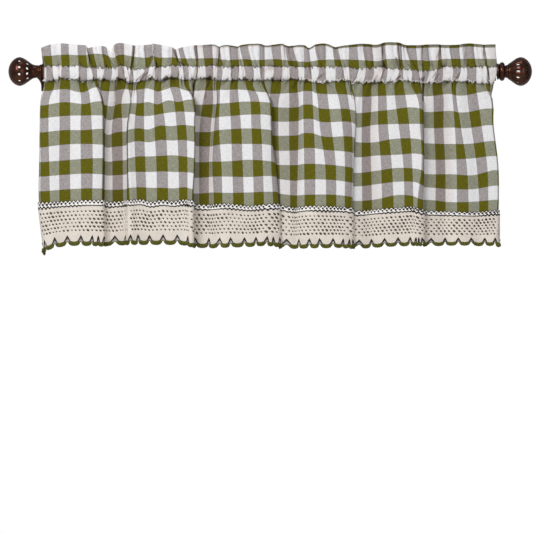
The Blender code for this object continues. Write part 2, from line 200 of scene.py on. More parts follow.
# The heights of the lines between two rows of checks at some of the check columns, and of the lace's
# top, which crosses its row at LACE_ROW, all measured on the photograph
ROWS = (
    # check, row 11, 10, 9, 8, 7, 6, 5, 4, 3, 2, 1, lace
    (1.5, 27, 10, -17, -34, -60, -82, -107, -133, -159, -184, -210, -229),
    (3.5, 29, 9, -12, -31, -54, -78, -103, -128, -156, -181, -207, -227),
    (5.5, 28, 9, -16, -36, -57, -77, -103, -127, -153, -179, -205, -225),
    (6.5, 29, 7, -15, -29, -53, -77, -101, -128, -152, -180, -205, -225),
    (9.6, 29, 6, -15, -34, -59, -81, -106, -131, -156, -180, -207, -225),
    (10.6, 24, 7, -15, -34, -61, -85, -111, -133, -158, -182, -207, -228),
    (11.5, 29, 11, -14, -31, -57, -81, -106, -131, -156, -181, -207, -227),
    (12.7, 27, 5, -20, -31, -56, -81, -105, -129, -155, -180, -206, -225),
    (14.3, 25, 4, -19, -33, -56, -74, -102, -125, -152, -176, -204, -225),
    (15.5, 24, 7, -16, -31, -56, -78, -100, -122, -149, -176, -203, -224),
    (16.4, 29, 9, -13, -30, -54, -78, -102, -124, -149, -176, -204, -228),
    (17.5, 24, 6, -16, -35, -58, -75, -95, -120, -148, -175, -204, -225),
    (18.5, 24, 9, -13, -31, -51, -72, -96, -121, -147, -176, -205, -227),
    (19.5, 24, 11, -12, -27, -54, -70, -94, -120, -149, -176, -203, -224),
    (20.4, 23, 10, -14, -32, -50, -71, -95, -122, -151, -177, -205, -225),
    (24.6, 23, 10, -12, -33, -58, -77, -106, -130, -159, -186, -214, -232),
    (26.5, 23, 10, -14, -33, -57, -81, -105, -131, -158, -184, -212, -233),
    (28.5, 20, 8, -16, -32, -56, -79, -102, -127, -158, -184, -213, -231),
    (30.5, 21, 9, -14, -32, -53, -76, -100, -127, -155, -185, -212, -235),
    (32.5, 20, 9, -15, -36, -54, -76, -102, -128, -157, -183, -211, -232),
    (35.4, 21, 8, -15, -39, -62, -87, -112, -138, -163, -187, -213, -232),
    (37.5, 19, 9, -14, -37, -63, -87, -112, -138, -164, -191, -217, -238),
    (39.5, 16, 7, -18, -34, -58, -83, -108, -134, -162, -189, -216, -235),
    (41.5, 20, 9, -20, -39, -66, -89, -115, -138, -164, -190, -216, -236),
    (43.5, 20.5, 8, -17, -40, -66, -88, -114, -141, -168, -194, -219, -238),
    (46.5, 20, 5, -19, -44, -73, -98, -124, -150, -178, -201, -227, -244),
    (48.5, 18, 7, -20, -43, -70, -93, -124, -147, -174, -197, -224, -241),
    (50.5, 22, 4, -18, -42, -67, -92, -118, -146, -169, -193, -216, -238),
    (52.4, 20, 3, -16, -41, -63, -92, -118, -144, -171, -194, -220, -237),
    (53.5, 20, 1, -19, -39, -67, -92, -122, -147, -175, -199, -224, -241),
    (56.5, 19, 2, -20, -43, -71, -99, -126, -154, -180, -203, -225, -244),
    (58.5, 22, 7.5, -18, -39, -69, -98, -127, -154, -180, -206, -229, -245),
    (60.5, 22, 7, -18, -42, -72, -99, -127, -152, -182, -206, -228, -246),
    (62.5, 22, 7.5, -21, -35, -65, -94, -122, -148, -173, -200, -225, -243),
)
ROWS_UP = 12
ROW_HEIGHT = 25.0
LACE_ROW = 0.25

# The heading's uneven upper edge: a check line and its height
HEADING_EDGE = (
    (0, 41), (1, 42), (2, 47), (3, 49), (4, 48), (5, 46.5), (6, 45), (6.6, 41),
    (8, 42.5), (9, 44.5), (10, 41), (10.5, 33), (11, 46.5), (11.5, 50), (12, 49), (13, 46),
    (15, 46), (16, 47.3), (17, 48.6), (18, 46), (19, 42), (20.3, 38.6), (22, 42.6), (23, 45.3),
    (25, 46), (26, 47.3), (27.5, 42.6), (28.6, 46), (30.2, 43.3), (31.7, 47.3), (33, 48.2), (34.2, 45.3),
    (36.4, 48), (37.3, 44.6), (39, 46), (40.2, 41.3), (41.1, 47.3), (42, 48.6), (43.4, 42.6), (44.7, 45.6),
    (47.6, 48), (48.3, 46.6), (49.3, 49.8), (51.7, 49.6), (52.5, 47.3), (57, 47.3), (59.6, 46.4), (61.2, 49),
    (63.4, 46.6), (65, 47.3),
)

# How much of the twelfth, green row shows along the heading's edge: a check line and its height
GREEN_AT_EDGE = (
    (0, -12), (20, -9), (24, -2), (26, 0.8), (28, 1.6), (34, 2.2), (37, 2.6), (43, 3.2), (46, 4.4),
    (52, 5), (65, 5.2),
)

# Narrow folds pressed into the heading: the check line, depth and width in checks
KNIFE_FOLDS = (
    # check, depth, width
    (6.7, 5.5, 0.3),
    (10.4, 4.5, 0.5),
    (13.6, 6.0, 0.25),
    (16.5, 4.0, 0.2),
    (20.2, 4.5, 0.4),
    (24.2, 3.0, 0.3),
    (27.4, 6.0, 0.35),
    (30.4, 3.5, 0.3),
    (34.0, 2.5, 0.4),
    (40.3, 3.0, 0.4),
    (43.5, 3.0, 0.35),
    (47.0, 2.5, 0.3),
    (49.2, 4.0, 0.2),
    (53.2, 3.5, 0.25),
    (57.7, 5.0, 0.3),
    (61.0, 3.0, 0.3),
    (63.8, 4.5, 0.25),
)

# The main creases, read off the photograph: from x and z to x and z, half the width, and how dark and deep
# A crease's darkness is painted shade along its line; the same number sets its trough's depth
CREASES = (
    (-321.7, 41.2, -313.3, 13.1, 1.4, 0.85), (-237.6, 46.4, -240.4, 20.1, 2.2, 0.95),
    (-240.4, 20.1, -244.6, 4.4, 1.7, 0.9), (-205.0, 35.9, -209.0, 13.1, 1.2, 0.6),
    (-170.8, 39.4, -156.8, 9.6, 1.4, 0.75), (-164.2, 20.1, -148.4, 10.2, 1.4, 0.8),
    (-130.7, 45.2, -126.7, 20.1, 1.9, 0.6), (-199.9, 16.6, -196.6, 6.7, 1.9, 0.85),
    (-284.2, 25.4, -272.8, 7.9, 1.2, 0.5), (-88.7, 48.2, -90.8, 11.4, 1.6, 0.75),
    (198.5, 48.2, 195.9, 16.6, 2.3, 0.5), (195.9, 20.1, 202.9, 5.4, 1.7, 0.85),
    (220.9, 23.7, 226.5, 1.8, 1.9, 0.85), (266.5, 48.2, 265.1, 20.1, 1.3, 0.8),
    (298.4, 41.2, 290.5, 20.1, 1.7, 0.5), (342.2, 34.2, 340.8, 20.1, 1.2, 0.7),
    (374.6, 46.4, 373.7, 20.1, 1.3, 0.7), (-220.1, -3.3, -235.6, -17.9, 1.2, 0.9),
    (-213.2, -1.1, -224.4, -12.3, 1.2, 0.85), (-209.9, -5.6, -218.8, -13.3, 1.0, 0.85),
    (-159.6, 0.0, -161.4, -11.2, 1.2, 0.7), (-256.8, 3.3, -255.8, -5.6, 1.2, 0.6),
    (-177.5, -10.0, -186.4, -18.9, 1.3, 0.8), (-269.1, -11.0, -260.2, -13.8, 1.4, 0.8),
    (-249.1, -11.2, -256.8, -15.6, 1.3, 0.8), (-244.6, -16.6, -244.6, -21.9, 2.2, 0.85),
    (-248.8, 2.6, -245.6, -13.1, 1.0, 0.5), (-241.3, -0.9, -238.6, -14.9, 1.0, 0.5),
    (-200.1, 9.6, -204.8, -9.6, 1.0, 0.45), (-129.3, 9.6, -133.9, -13.1, 1.2, 0.6),
    (152.8, -7.5, 147.2, -14.9, 1.2, 0.7), (188.0, -6.1, 181.9, -16.6, 1.0, 0.6),
    (228.3, -7.5, 219.0, -15.8, 1.4, 0.9), (200.3, 4.4, 194.1, -13.1, 1.2, 0.5),
    (270.7, -9.3, 264.6, -17.0, 1.6, 0.95), (266.0, -11.4, 261.6, -15.8, 1.4, 0.9),
    (291.0, -0.2, 284.3, -11.9, 1.2, 0.8), (294.9, -4.4, 288.0, -14.9, 1.2, 0.8),
    (331.5, -3.9, 324.1, -14.5, 1.3, 0.8), (381.2, 9.6, 382.6, -14.9, 1.4, 0.7),
    (92.2, -6.1, 82.0, -14.0, 1.2, 0.8), (96.0, -2.6, 87.2, -11.4, 1.0, 0.6),
    (-14.4, 6.1, -16.1, -11.4, 1.0, 0.5), (-45.9, 9.6, -47.7, -11.4, 1.0, 0.4),
    (-68.7, 9.6, -66.9, -11.4, 0.9, 0.5), (129.3, 6.1, 125.8, -13.1, 1.0, 0.5),
    (69.7, 6.1, 71.5, -13.1, 1.0, 0.4), (-132.5, -14.0, -136.0, -48.2, 1.9, 1),
    (-270.5, -15.6, -271.9, -48.2, 1.4, 0.75), (-271.9, -48.2, -273.5, -60.4, 1.0, 0.5),
    (267.2, -15.8, 267.4, -51.7, 2.0, 1), (-106.0, -18.0, -113.0, -30.1, 1.3, 0.8),
    (-112.5, -28.9, -114.2, -49.9, 1.3, 0.5), (46.8, -18.0, 39.8, -28.2, 1.2, 0.7),
    (-12.6, -16.1, -4.6, -40.1, 1.2, 0.5), (140.3, -18.4, 142.3, -46.4, 1.2, 0.6),
    (-303.4, -18.4, -296.4, -35.9, 1.4, 0.7), (-297.5, -33.3, -293.5, -57.5, 1.7, 0.8),
    (-242.5, -49.9, -249.3, -104.2, 1.2, 0.7), (-249.3, -104.2, -249.1, -163.8, 0.9, 0.6),
    (381.2, -16.6, 385.1, -25.9, 1.7, 0.7), (-135.3, -48.2, -131.9, -71.0, 1.3, 0.9),
    (-377.0, -14.9, -373.5, -25.4, 1.0, 0.5), (-338.5, -13.1, -335.0, -23.7, 1.0, 0.5),
    (-183.4, -21.9, -191.3, -32.4, 1.0, 0.4),
)

# Where the lace's columns lie among the checks, since its scallops pass over the checks hidden in folds
COLUMN_AT_CHECK = (
    # check, lace column
    (0, 0.0), (7, 7.0), (8, 7.3), (9, 7.6), (10, 8.2), (11, 9.0), (21, 19.0), (22, 19.5), (23, 20.1),
    (24, 20.6), (25, 21.2), (26, 22.0), (32, 28.0), (33, 28.6), (34, 29.2), (35, 29.8), (36, 30.4),
    (37, 31.0), (43, 37.0), (44, 37.4), (45, 37.9), (46, 38.4), (47, 39.0), (52, 44.0), (53, 44.8),
    (54, 45.3), (55, 45.7), (56, 46.1), (57, 47.0), (65, 54.0),
)


def smooth_curve(at, values, query):
    """Cubic curve through rows of values, its slope at each that of its two neighbours; query runs along
    the last axis of the result."""
    values = np.asarray(values, float)
    slope = np.gradient(values, at, axis=0)
    left = np.clip(np.searchsorted(at, query, side="right") - 1, 0, len(at) - 2)
    span = at[left + 1] - at[left]
    t = np.clip((query - at[left]) / span, 0, 1)
    rise = t * t * (3 - 2 * t)
    out_left = t * (1 - t) ** 2 * span
    out_right = -t * t * (1 - t) * span
    return (
        values[left].T * (1 - rise) + values[left + 1].T * rise
        + slope[left].T * out_left + slope[left + 1].T * out_right
    )


def through_levels(height, values):
    """Cubic curve down each column: values has a row for each of LEVELS, and height an array of rows."""
    at = np.array(LEVELS[::-1])
    values = values[::-1]
    slope = np.gradient(values, at, axis=0)
    left = np.clip(np.searchsorted(at, height, side="right") - 1, 0, len(at) - 2)
    span = at[left + 1] - at[left]
    t = np.clip((height - at[left]) / span, 0, 1)
    rise = t * t * (3 - 2 * t)
    low, high = (np.take_along_axis(values, left + step, axis=0) for step in (0, 1))
    low_slope, high_slope = (np.take_along_axis(slope, left + step, axis=0) for step in (0, 1))
    bend = low_slope * t * (1 - t) ** 2 - high_slope * t * t * (1 - t)
    return low * (1 - rise) + high * rise + span * bend


def ease(low, high, value):
    """0 below low, 1 above high, and an S-curve between them."""
    t = np.clip((value - low) / (high - low), 0, 1)
    return t * t * (3 - 2 * t)


CHECK_TABLE = np.array(CHECKS)
ROW_TABLE = np.array(ROWS)
EDGE_TABLE = np.array(HEADING_EDGE)
EDGE_ROW = np.array(GREEN_AT_EDGE)
COLUMN_TABLE = np.array(COLUMN_AT_CHECK)


def fold_depth(check):
    """The folds' depth at the lace."""
    return smooth_curve(CHECK_TABLE[:, 0], CHECK_TABLE[:, 9], check)


def hem_height(check):
    """The height of the lace's top."""
    return smooth_curve(ROW_TABLE[:, 0], ROW_TABLE[:, 12], check)


def foot_height(check):
    """The height of the scallops' foot."""
    return smooth_curve(CHECK_TABLE[:, 0], CHECK_TABLE[:, 10], check)


def upper_seam(check):
    """The height of the sewn line above the rod: between two rows of checks, and always clear of the rod."""
    return np.maximum(smooth_curve(ROW_TABLE[:, 0], ROW_TABLE[:, 2], check), ROD_RADIUS + SEAM_CLEARANCE)


def lower_seam(check):
    """The height of the sewn line under the rod."""
    return smooth_curve(ROW_TABLE[:, 0], ROW_TABLE[:, 3], check)


def from_seam(check, height):
    """The distance to the nearer sewn line."""
    return np.minimum(abs(height - upper_seam(check)), abs(height - lower_seam(check)))


def heading_edge(check):
    """The height of the heading's upper edge."""
    return smooth_curve(EDGE_TABLE[:, 0], EDGE_TABLE[:, 1], check)


def row_at(check, height):
    """The row of checks at a height, counted up from the lace: one for each pair of lines passed."""
    top = heading_edge(check) - smooth_curve(EDGE_ROW[:, 0], EDGE_ROW[:, 1], check)
    lines = [top, *smooth_curve(ROW_TABLE[:, 0], ROW_TABLE[:, 1:], check)]
    row = np.full(np.broadcast_shapes(np.shape(height), check.shape), float(ROWS_UP))
    row += np.clip((height - top) / ROW_HEIGHT, 0, 1)
    for line, (upper, lower) in enumerate(zip(lines, lines[1:])):
        step = 1.0 if line < ROWS_UP - 1 else 1 - LACE_ROW
        row -= step * np.clip((upper - height) / (upper - lower), 0, 1)
    return row - np.clip((lines[-1] - height) / ROW_HEIGHT, 0, 1)


def pillows(check, height):
    """The small gathers along the sewn lines: 0 in each tight pleat and up to 1 on the cloth that swells
    between two. The pleats are uneven and slant across the pocket."""
    wander = 0.45 * np.sin(0.83 * check) + 0.28 * np.sin(2.1 * check + 1.0)
    slant = np.sin(0.61 * check + 0.5) + 0.6 * np.sin(1.7 * check)
    lower = lower_seam(check)
    across_pocket = np.clip((height - lower) / (upper_seam(check) - lower), -2, 1.5)
    swell = abs(np.sin(math.pi * (PLEATS_PER_CHECK * check + wander + PLEAT_SLANT * slant * across_pocket)))
    return swell * (0.75 + 0.25 * np.sin(1.37 * check + 0.6))


def skirt_share(height):
    """How far the skirt's folds have grown at a height, from little at the seam to 1."""
    return FOLD_AT_SEAM + (1 - FOLD_AT_SEAM) * ease(-SEAM_LOWER, -FOLDS_FULL, -height)


def depth_of(check, height, amount):
    """y of each check at a height: small gathers at the sewn lines, narrow folds pressed into the
    heading, and the skirt's folds growing below the pocket."""
    fade = np.exp(np.minimum(height - lower_seam(check), 0) / PUCKER_FADE)
    folds = fold_depth(check) + FOLD_MIDDLE
    knives = np.zeros_like(check)
    for at, depth, width in KNIFE_FOLDS:
        knives += depth * np.exp(-(((check - at) / width) ** 2))
    gathers = amount * fade * (1 - 2 * pillows(check, height))
    return folds * skirt_share(height) + gathers + knives * ease(SEAM_UPPER, HEADING_TOP, height)


def creases_at(x, height):
    """How deep in the nearest crease each place lies, 0 to 1: a bell across its line, narrow at its ends. It
    sets both the crease's trough and its painted shade.
    """
    deep = np.zeros(np.broadcast_shapes(x.shape, height.shape))
    for x0, z0, x1, z1, width, dark in CREASES:
        run, fall = x1 - x0, z1 - z0
        along = np.clip(((x - x0) * run + (height - z0) * fall) / (run * run + fall * fall), 0, 1)
        away = np.hypot(x - x0 - along * run, height - z0 - along * fall)
        taper = width * (1 - 0.5 * abs(2 * along - 1))
        deep = np.maximum(deep, dark * np.exp(-((away / taper) ** 2)))
    return deep


def shadow_of(check, height, x):
    """How much less light reaches the cloth, 0 to 1: the sum of the shade in its valleys, on checks that
    a fold hides in part, in the pleats beside the sewn lines, under the right half's rolled rim, and in
    the creases."""
    behind = np.clip((fold_depth(check) - VALLEY_STARTS) / VALLEY_SPAN, 0, 1)
    valley = behind * (0.5 + 0.5 * skirt_share(height))
    visible = np.gradient(x, axis=-1) / np.gradient(check)
    hidden = np.clip(1 - visible / HIDDEN_CHECK, 0, 1) ** 1.2
    hidden = np.maximum(hidden, np.roll(hidden, 1, axis=-1) * NEIGHBOUR_SHADE)
    tight = np.clip(1 - pillows(check, height) / PLEAT_EDGE, 0, 1)
    pleat = tight * np.exp(-from_seam(check, height) / PLEAT_REACH)
    rim = ease(0, 1, height - heading_edge(check) + RIM_HEIGHT) * ease(22, 27, check)
    shade = VALLEY_SHADE * valley + hidden + PLEAT_SHADE * pleat + RIM_SHADE * rim
    return np.clip(shade + creases_at(x, height), 0, 1)


def seam_shift(check, height):
    """How far the rows of checks are pulled towards the sewn lines in each pleat, in rows."""
    size = ROW_PULL + (ROW_PULL_RIGHT - ROW_PULL) * ease(30, 42, check)
    return size * (pillows(check, height) - 0.5) * np.exp(-from_seam(check, height) / ROW_PULL_REACH)


def plan_normal(x, y):
    """Mitred normals of plan curves, towards the wall where they run to the right: the sum of the two
    neighbouring runs' unit normals, long enough that both runs move out by the same distance."""
    run = np.diff(x, axis=-1)
    rise = np.diff(y, axis=-1)
    length = np.hypot(run, rise)
    side_x, side_y = -rise / length, run / length
    after_x = np.concatenate([side_x, side_x[..., -1:]], axis=-1)
    after_y = np.concatenate([side_y, side_y[..., -1:]], axis=-1)
    before_x = np.concatenate([side_x[..., :1], side_x], axis=-1)
    before_y = np.concatenate([side_y[..., :1], side_y], axis=-1)
    spread = np.maximum(1 + before_x * after_x + before_y * after_y, SHARPEST_MITRE)
    return (before_x + after_x) / spread, (before_y + after_y) / spread


def placed(check, height, offset, amount):
    """Points of the hanging cloth: its plan curves moved out along their normals, or straight out over
    the rod. check runs along the last axis, and the rest are arrays that fit it."""
    height = np.broadcast_to(height, np.broadcast_shapes(np.shape(height), check.shape))
    x = through_levels(height, smooth_curve(CHECK_TABLE[:, 0], CHECK_TABLE[:, 1:9], check))
    y = depth_of(check, height, amount) + CREASE_DEPTH * creases_at(x, height)
    normal_x, normal_y = plan_normal(x, y)
    over_rod = np.clip(abs(offset) / ROD_RADIUS * 2 - 1, 0, 1)
    y = y * (1 - (1 - POCKET_FOLD) * over_rod)
    x = x + offset * (1 - over_rod) * normal_x
    y = y + offset * (over_rod + (1 - over_rod) * normal_y)
    return np.stack([x, y, height], axis=-1)


# Meshes from arrays of points


def put_mesh(name, points, faces, uv=None, shadow=None):
    """A smooth mesh object from points in millimetres and faces as an array of corners, with a UV and a
    shadow for each point."""
    mesh = bpy.data.meshes.new(name)
    points = np.reshape(points, (-1, 3)) * MM + ROD_MIDDLE
    faces = np.asarray(faces)
    sides = faces.shape[1]
    mesh.vertices.add(len(points))
    mesh.vertices.foreach_set("co", points.astype(np.float32).ravel())
    mesh.loops.add(faces.size)
    mesh.loops.foreach_set("vertex_index", faces.astype(np.int32).ravel())
    mesh.polygons.add(len(faces))
    mesh.polygons.foreach_set("loop_start", np.arange(0, faces.size, sides, dtype=np.int32))
    mesh.polygons.foreach_set("use_smooth", np.ones(len(faces), dtype=bool))
    mesh.update(calc_edges=True)
    if uv is not None:
        layer = mesh.uv_layers.new(name="flat_cloth")
        layer.data.foreach_set("uv", np.reshape(uv, (-1, 2))[faces.ravel()].astype(np.float32).ravel())
    if shadow is not None:
        layer = mesh.attributes.new("shadow", "FLOAT", "POINT")
        layer.data.foreach_set("value", shadow.astype(np.float32).ravel())
    made = bpy.data.objects.new(name, mesh)
    bpy.context.scene.collection.objects.link(made)
    return made


def grid_faces(rows, columns, wrap_rows=False, wrap_columns=False):
    """Quads of a grid of points whose columns run to the right and whose rows run down the face."""
    row = np.arange(rows if wrap_rows else rows - 1)[:, None]
    column = np.arange(columns if wrap_columns else columns - 1)[None, :]
    a = row * columns + column
    b = (row + 1) % rows * columns + column
    right = (column + 1) % columns
    return np.stack([a, b, (row + 1) % rows * columns + right, row * columns + right], axis=-1).reshape(-1, 4)


def tube_along(path, radius_out, radius_up, sides):
    """A closed tube round a path of points: an ellipse at each, one radius towards the wall and one
    across it, and its ends drawn to points."""
    path = np.asarray(path, float)
    along = np.gradient(path, axis=0)
    along /= np.linalg.norm(along, axis=1, keepdims=True)
    up = np.cross(np.array([0.0, 1.0, 0.0]), along)
    up /= np.linalg.norm(up, axis=1, keepdims=True)
    out = np.cross(along, up)
    turn = np.linspace(0, 2 * math.pi, sides, endpoint=False)[:, None, None]
    radius_out = np.reshape(np.broadcast_to(radius_out, len(path)), (1, -1, 1))
    radius_up = np.reshape(np.broadcast_to(radius_up, len(path)), (1, -1, 1))
    ring = path[None] + np.cos(turn) * radius_out * out[None] + np.sin(turn) * radius_up * up[None]
    ends = [np.broadcast_to(path[end], (sides, 1, 3)) for end in (0, -1)]
    return np.concatenate([ends[0], ring, ends[1]], axis=1)


def put_tube(name, path, radius_out, radius_up, sides=6):
    """A tube along a path as a mesh object."""
    points = tube_along(path, radius_out, radius_up, sides)
    return put_mesh(name, points, grid_faces(*points.shape[:2], wrap_rows=True))


def add_wall(made, thickness):
    """Gives a sheet its thickness, half to each side."""
    wall = made.modifiers.new("wall", "SOLIDIFY")
    wall.thickness = thickness * MM
    wall.offset = 0
    return made


def dress(made, material, replaces=None):
    """Gives a piece its material, slot and body, and hides the node that it stands for."""
    made.data.materials.append(material)
    if replaces:
        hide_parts(replaces)
    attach(made, "root")
    return made


def pierce(across, down, quads, centre_row, centre_column, cells, half_across, half_down, lean=0.0):
    """Opens holes in a grid: the points on each hole's rim move to an ellipse and the quads inside go.
    centre_row and centre_column are arrays, cells is the rim's reach in rows and columns, and the half
    sizes are in the grid's own units. lean slants the ellipse."""
    tall, wide = cells
    block = [(r, c) for r in range(-tall, tall + 1) for c in range(-wide, wide + 1)]
    rim = [(r, c) for r, c in block if abs(r) == tall or abs(c) == wide]
    middle_across = across[centre_row, centre_column].copy()
    middle_down = down[centre_row, centre_column].copy()
    columns = across.shape[1]
    for r, c in rim:
        angle = math.atan2(r / tall, c / wide)
        column = (centre_column + c) % columns
        sine = math.sin(angle)
        across[centre_row + r, column] = middle_across + (math.cos(angle) + lean * sine) * half_across
        down[centre_row + r, column] = middle_down + sine * half_down
    for r in range(-tall, tall):
        for c in range(-wide, wide):
            quads[centre_row + r, (centre_column + c) % quads.shape[1]] = False


# Materials


def new_material(name):
    """A material with nodes, its node tree and its shader."""
    material = bpy.data.materials.new(name)
    material.use_nodes = True
    tree = material.node_tree
    return material, tree, tree.nodes["Principled BSDF"]


def calc(tree, operation, first, second=None, clamp=False):
    """A Math node whose inputs are numbers or sockets."""
    node = tree.nodes.new("ShaderNodeMath")
    node.operation = operation
    node.use_clamp = clamp
    for socket, value in zip(node.inputs, (first, second)):
        if value is None:
            continue
        if isinstance(value, (int, float)):
            socket.default_value = value
        else:
            tree.links.new(value, socket)
    return node.outputs[0]


def scaled(tree, value, factor, plus, clamp=False):
    """value * factor + plus."""
    return calc(tree, "ADD", calc(tree, "MULTIPLY", value, factor), plus, clamp)


def mix_colour(tree, share, first, second, blend="MIX"):
    """A colour mix whose inputs are colours or sockets."""
    node = tree.nodes.new("ShaderNodeMix")
    node.data_type = "RGBA"
    node.blend_type = blend
    for socket, value in ((node.inputs[0], share), (node.inputs[6], first), (node.inputs[7], second)):
        if isinstance(value, (int, float)):
            socket.default_value = value
        elif isinstance(value, tuple):
            socket.default_value = (*value, 1)
        else:
            tree.links.new(value, socket)
    return node.outputs[2]


def noise(tree, vector, detail=2.0):
    """A Noise texture's value, one fleck to a unit of the vector."""
    node = tree.nodes.new("ShaderNodeTexNoise")
    node.inputs["Scale"].default_value = 1.0
    node.inputs["Detail"].default_value = detail
    tree.links.new(vector, node.inputs["Vector"])
    return node.outputs["Fac"]


def stretched(tree, vector, *scale):
    """A vector multiplied by three factors."""
    node = tree.nodes.new("ShaderNodeVectorMath")
    node.operation = "MULTIPLY"
    tree.links.new(vector, node.inputs[0])
    node.inputs[1].default_value = scale
    return node.outputs[0]


def bump(tree, height, strength, distance):
    """A Bump node's normal."""
    node = tree.nodes.new("ShaderNodeBump")
    node.inputs["Strength"].default_value = strength
    node.inputs["Distance"].default_value = distance
    tree.links.new(height, node.inputs["Height"])
    return node.outputs[0]


def grey_of(tree, value):
    """A grey from a value."""
    node = tree.nodes.new("ShaderNodeCombineColor")
    for socket in node.inputs[:3]:
        tree.links.new(value, socket)
    return node.outputs[0]


def multiplied(tree, first, second):
    """Two colours, or a colour and a grey, multiplied."""
    return mix_colour(tree, 1.0, first, second, "MULTIPLY")


def linear(*rgb):
    """A colour given as 0 to 255 screen values, in linear light."""
    value = np.array(rgb) / 255
    light = np.where(value <= 0.04045, value / 12.92, ((value + 0.055) / 1.055) ** 2.4)
    return tuple(float(v) for v in light)


# The cloth's colours, its sewn rows and its threads to a check
WHITE = linear(221, 220, 222)
SAGE = linear(138, 139, 121)
MAUVE = linear(153, 147, 147)
OLIVE = linear(90, 87, 9)
HEM_WHITE = linear(226, 222, 220)
SHADE_TINT = (1.0, 0.935, 0.9)
SEAM_ROWS = (9.0, 10.0)
HEM_ROW = 9.09
WARP_THREADS = 18
WEFT_THREADS = 23


def flat_place(tree):
    """The place on the flat cloth: the whole vector, and its checks across and rows up."""
    uv = tree.nodes.new("ShaderNodeUVMap")
    uv.uv_map = "flat_cloth"
    apart = tree.nodes.new("ShaderNodeSeparateXYZ")
    tree.links.new(uv.outputs[0], apart.inputs[0])
    return uv.outputs[0], apart.outputs[0], apart.outputs[1]


def near_seams(tree, up):
    """Where the flat cloth lies close to a sewn line: 1 on it, falling away over a quarter of a row."""
    off = [calc(tree, "ABSOLUTE", calc(tree, "SUBTRACT", up, row)) for row in SEAM_ROWS]
    return calc(tree, "EXPONENT", calc(tree, "MULTIPLY", calc(tree, "MINIMUM", *off), -4.0))


def check_colours(tree, across, up, right):
    """The cloth's colours and where it is dyed: green rows over dark columns, each edge a steep slope on a
    sine of its checks, and the light hem under the pocket, where right is 1."""
    stripe = calc(tree, "SINE", calc(tree, "MULTIPLY", across, math.pi))
    band = calc(tree, "SINE", calc(tree, "MULTIPLY", up, math.pi))
    dark = scaled(tree, stripe, -9.0, 0.5, True)
    green = scaled(tree, band, 12.0, 0.5, True)
    light_column = mix_colour(tree, green, WHITE, SAGE)
    dark_column = mix_colour(tree, green, MAUVE, OLIVE)
    cloth = mix_colour(tree, dark, light_column, dark_column)
    off_hem = calc(tree, "ABSOLUTE", scaled(tree, up, 1.0, -HEM_ROW))
    hem = calc(tree, "MULTIPLY", scaled(tree, off_hem, -14.0, 1.2, True), 0.8)
    cloth = mix_colour(tree, calc(tree, "MULTIPLY", right, hem), cloth, HEM_WHITE)
    return cloth, calc(tree, "MAXIMUM", dark, green), band


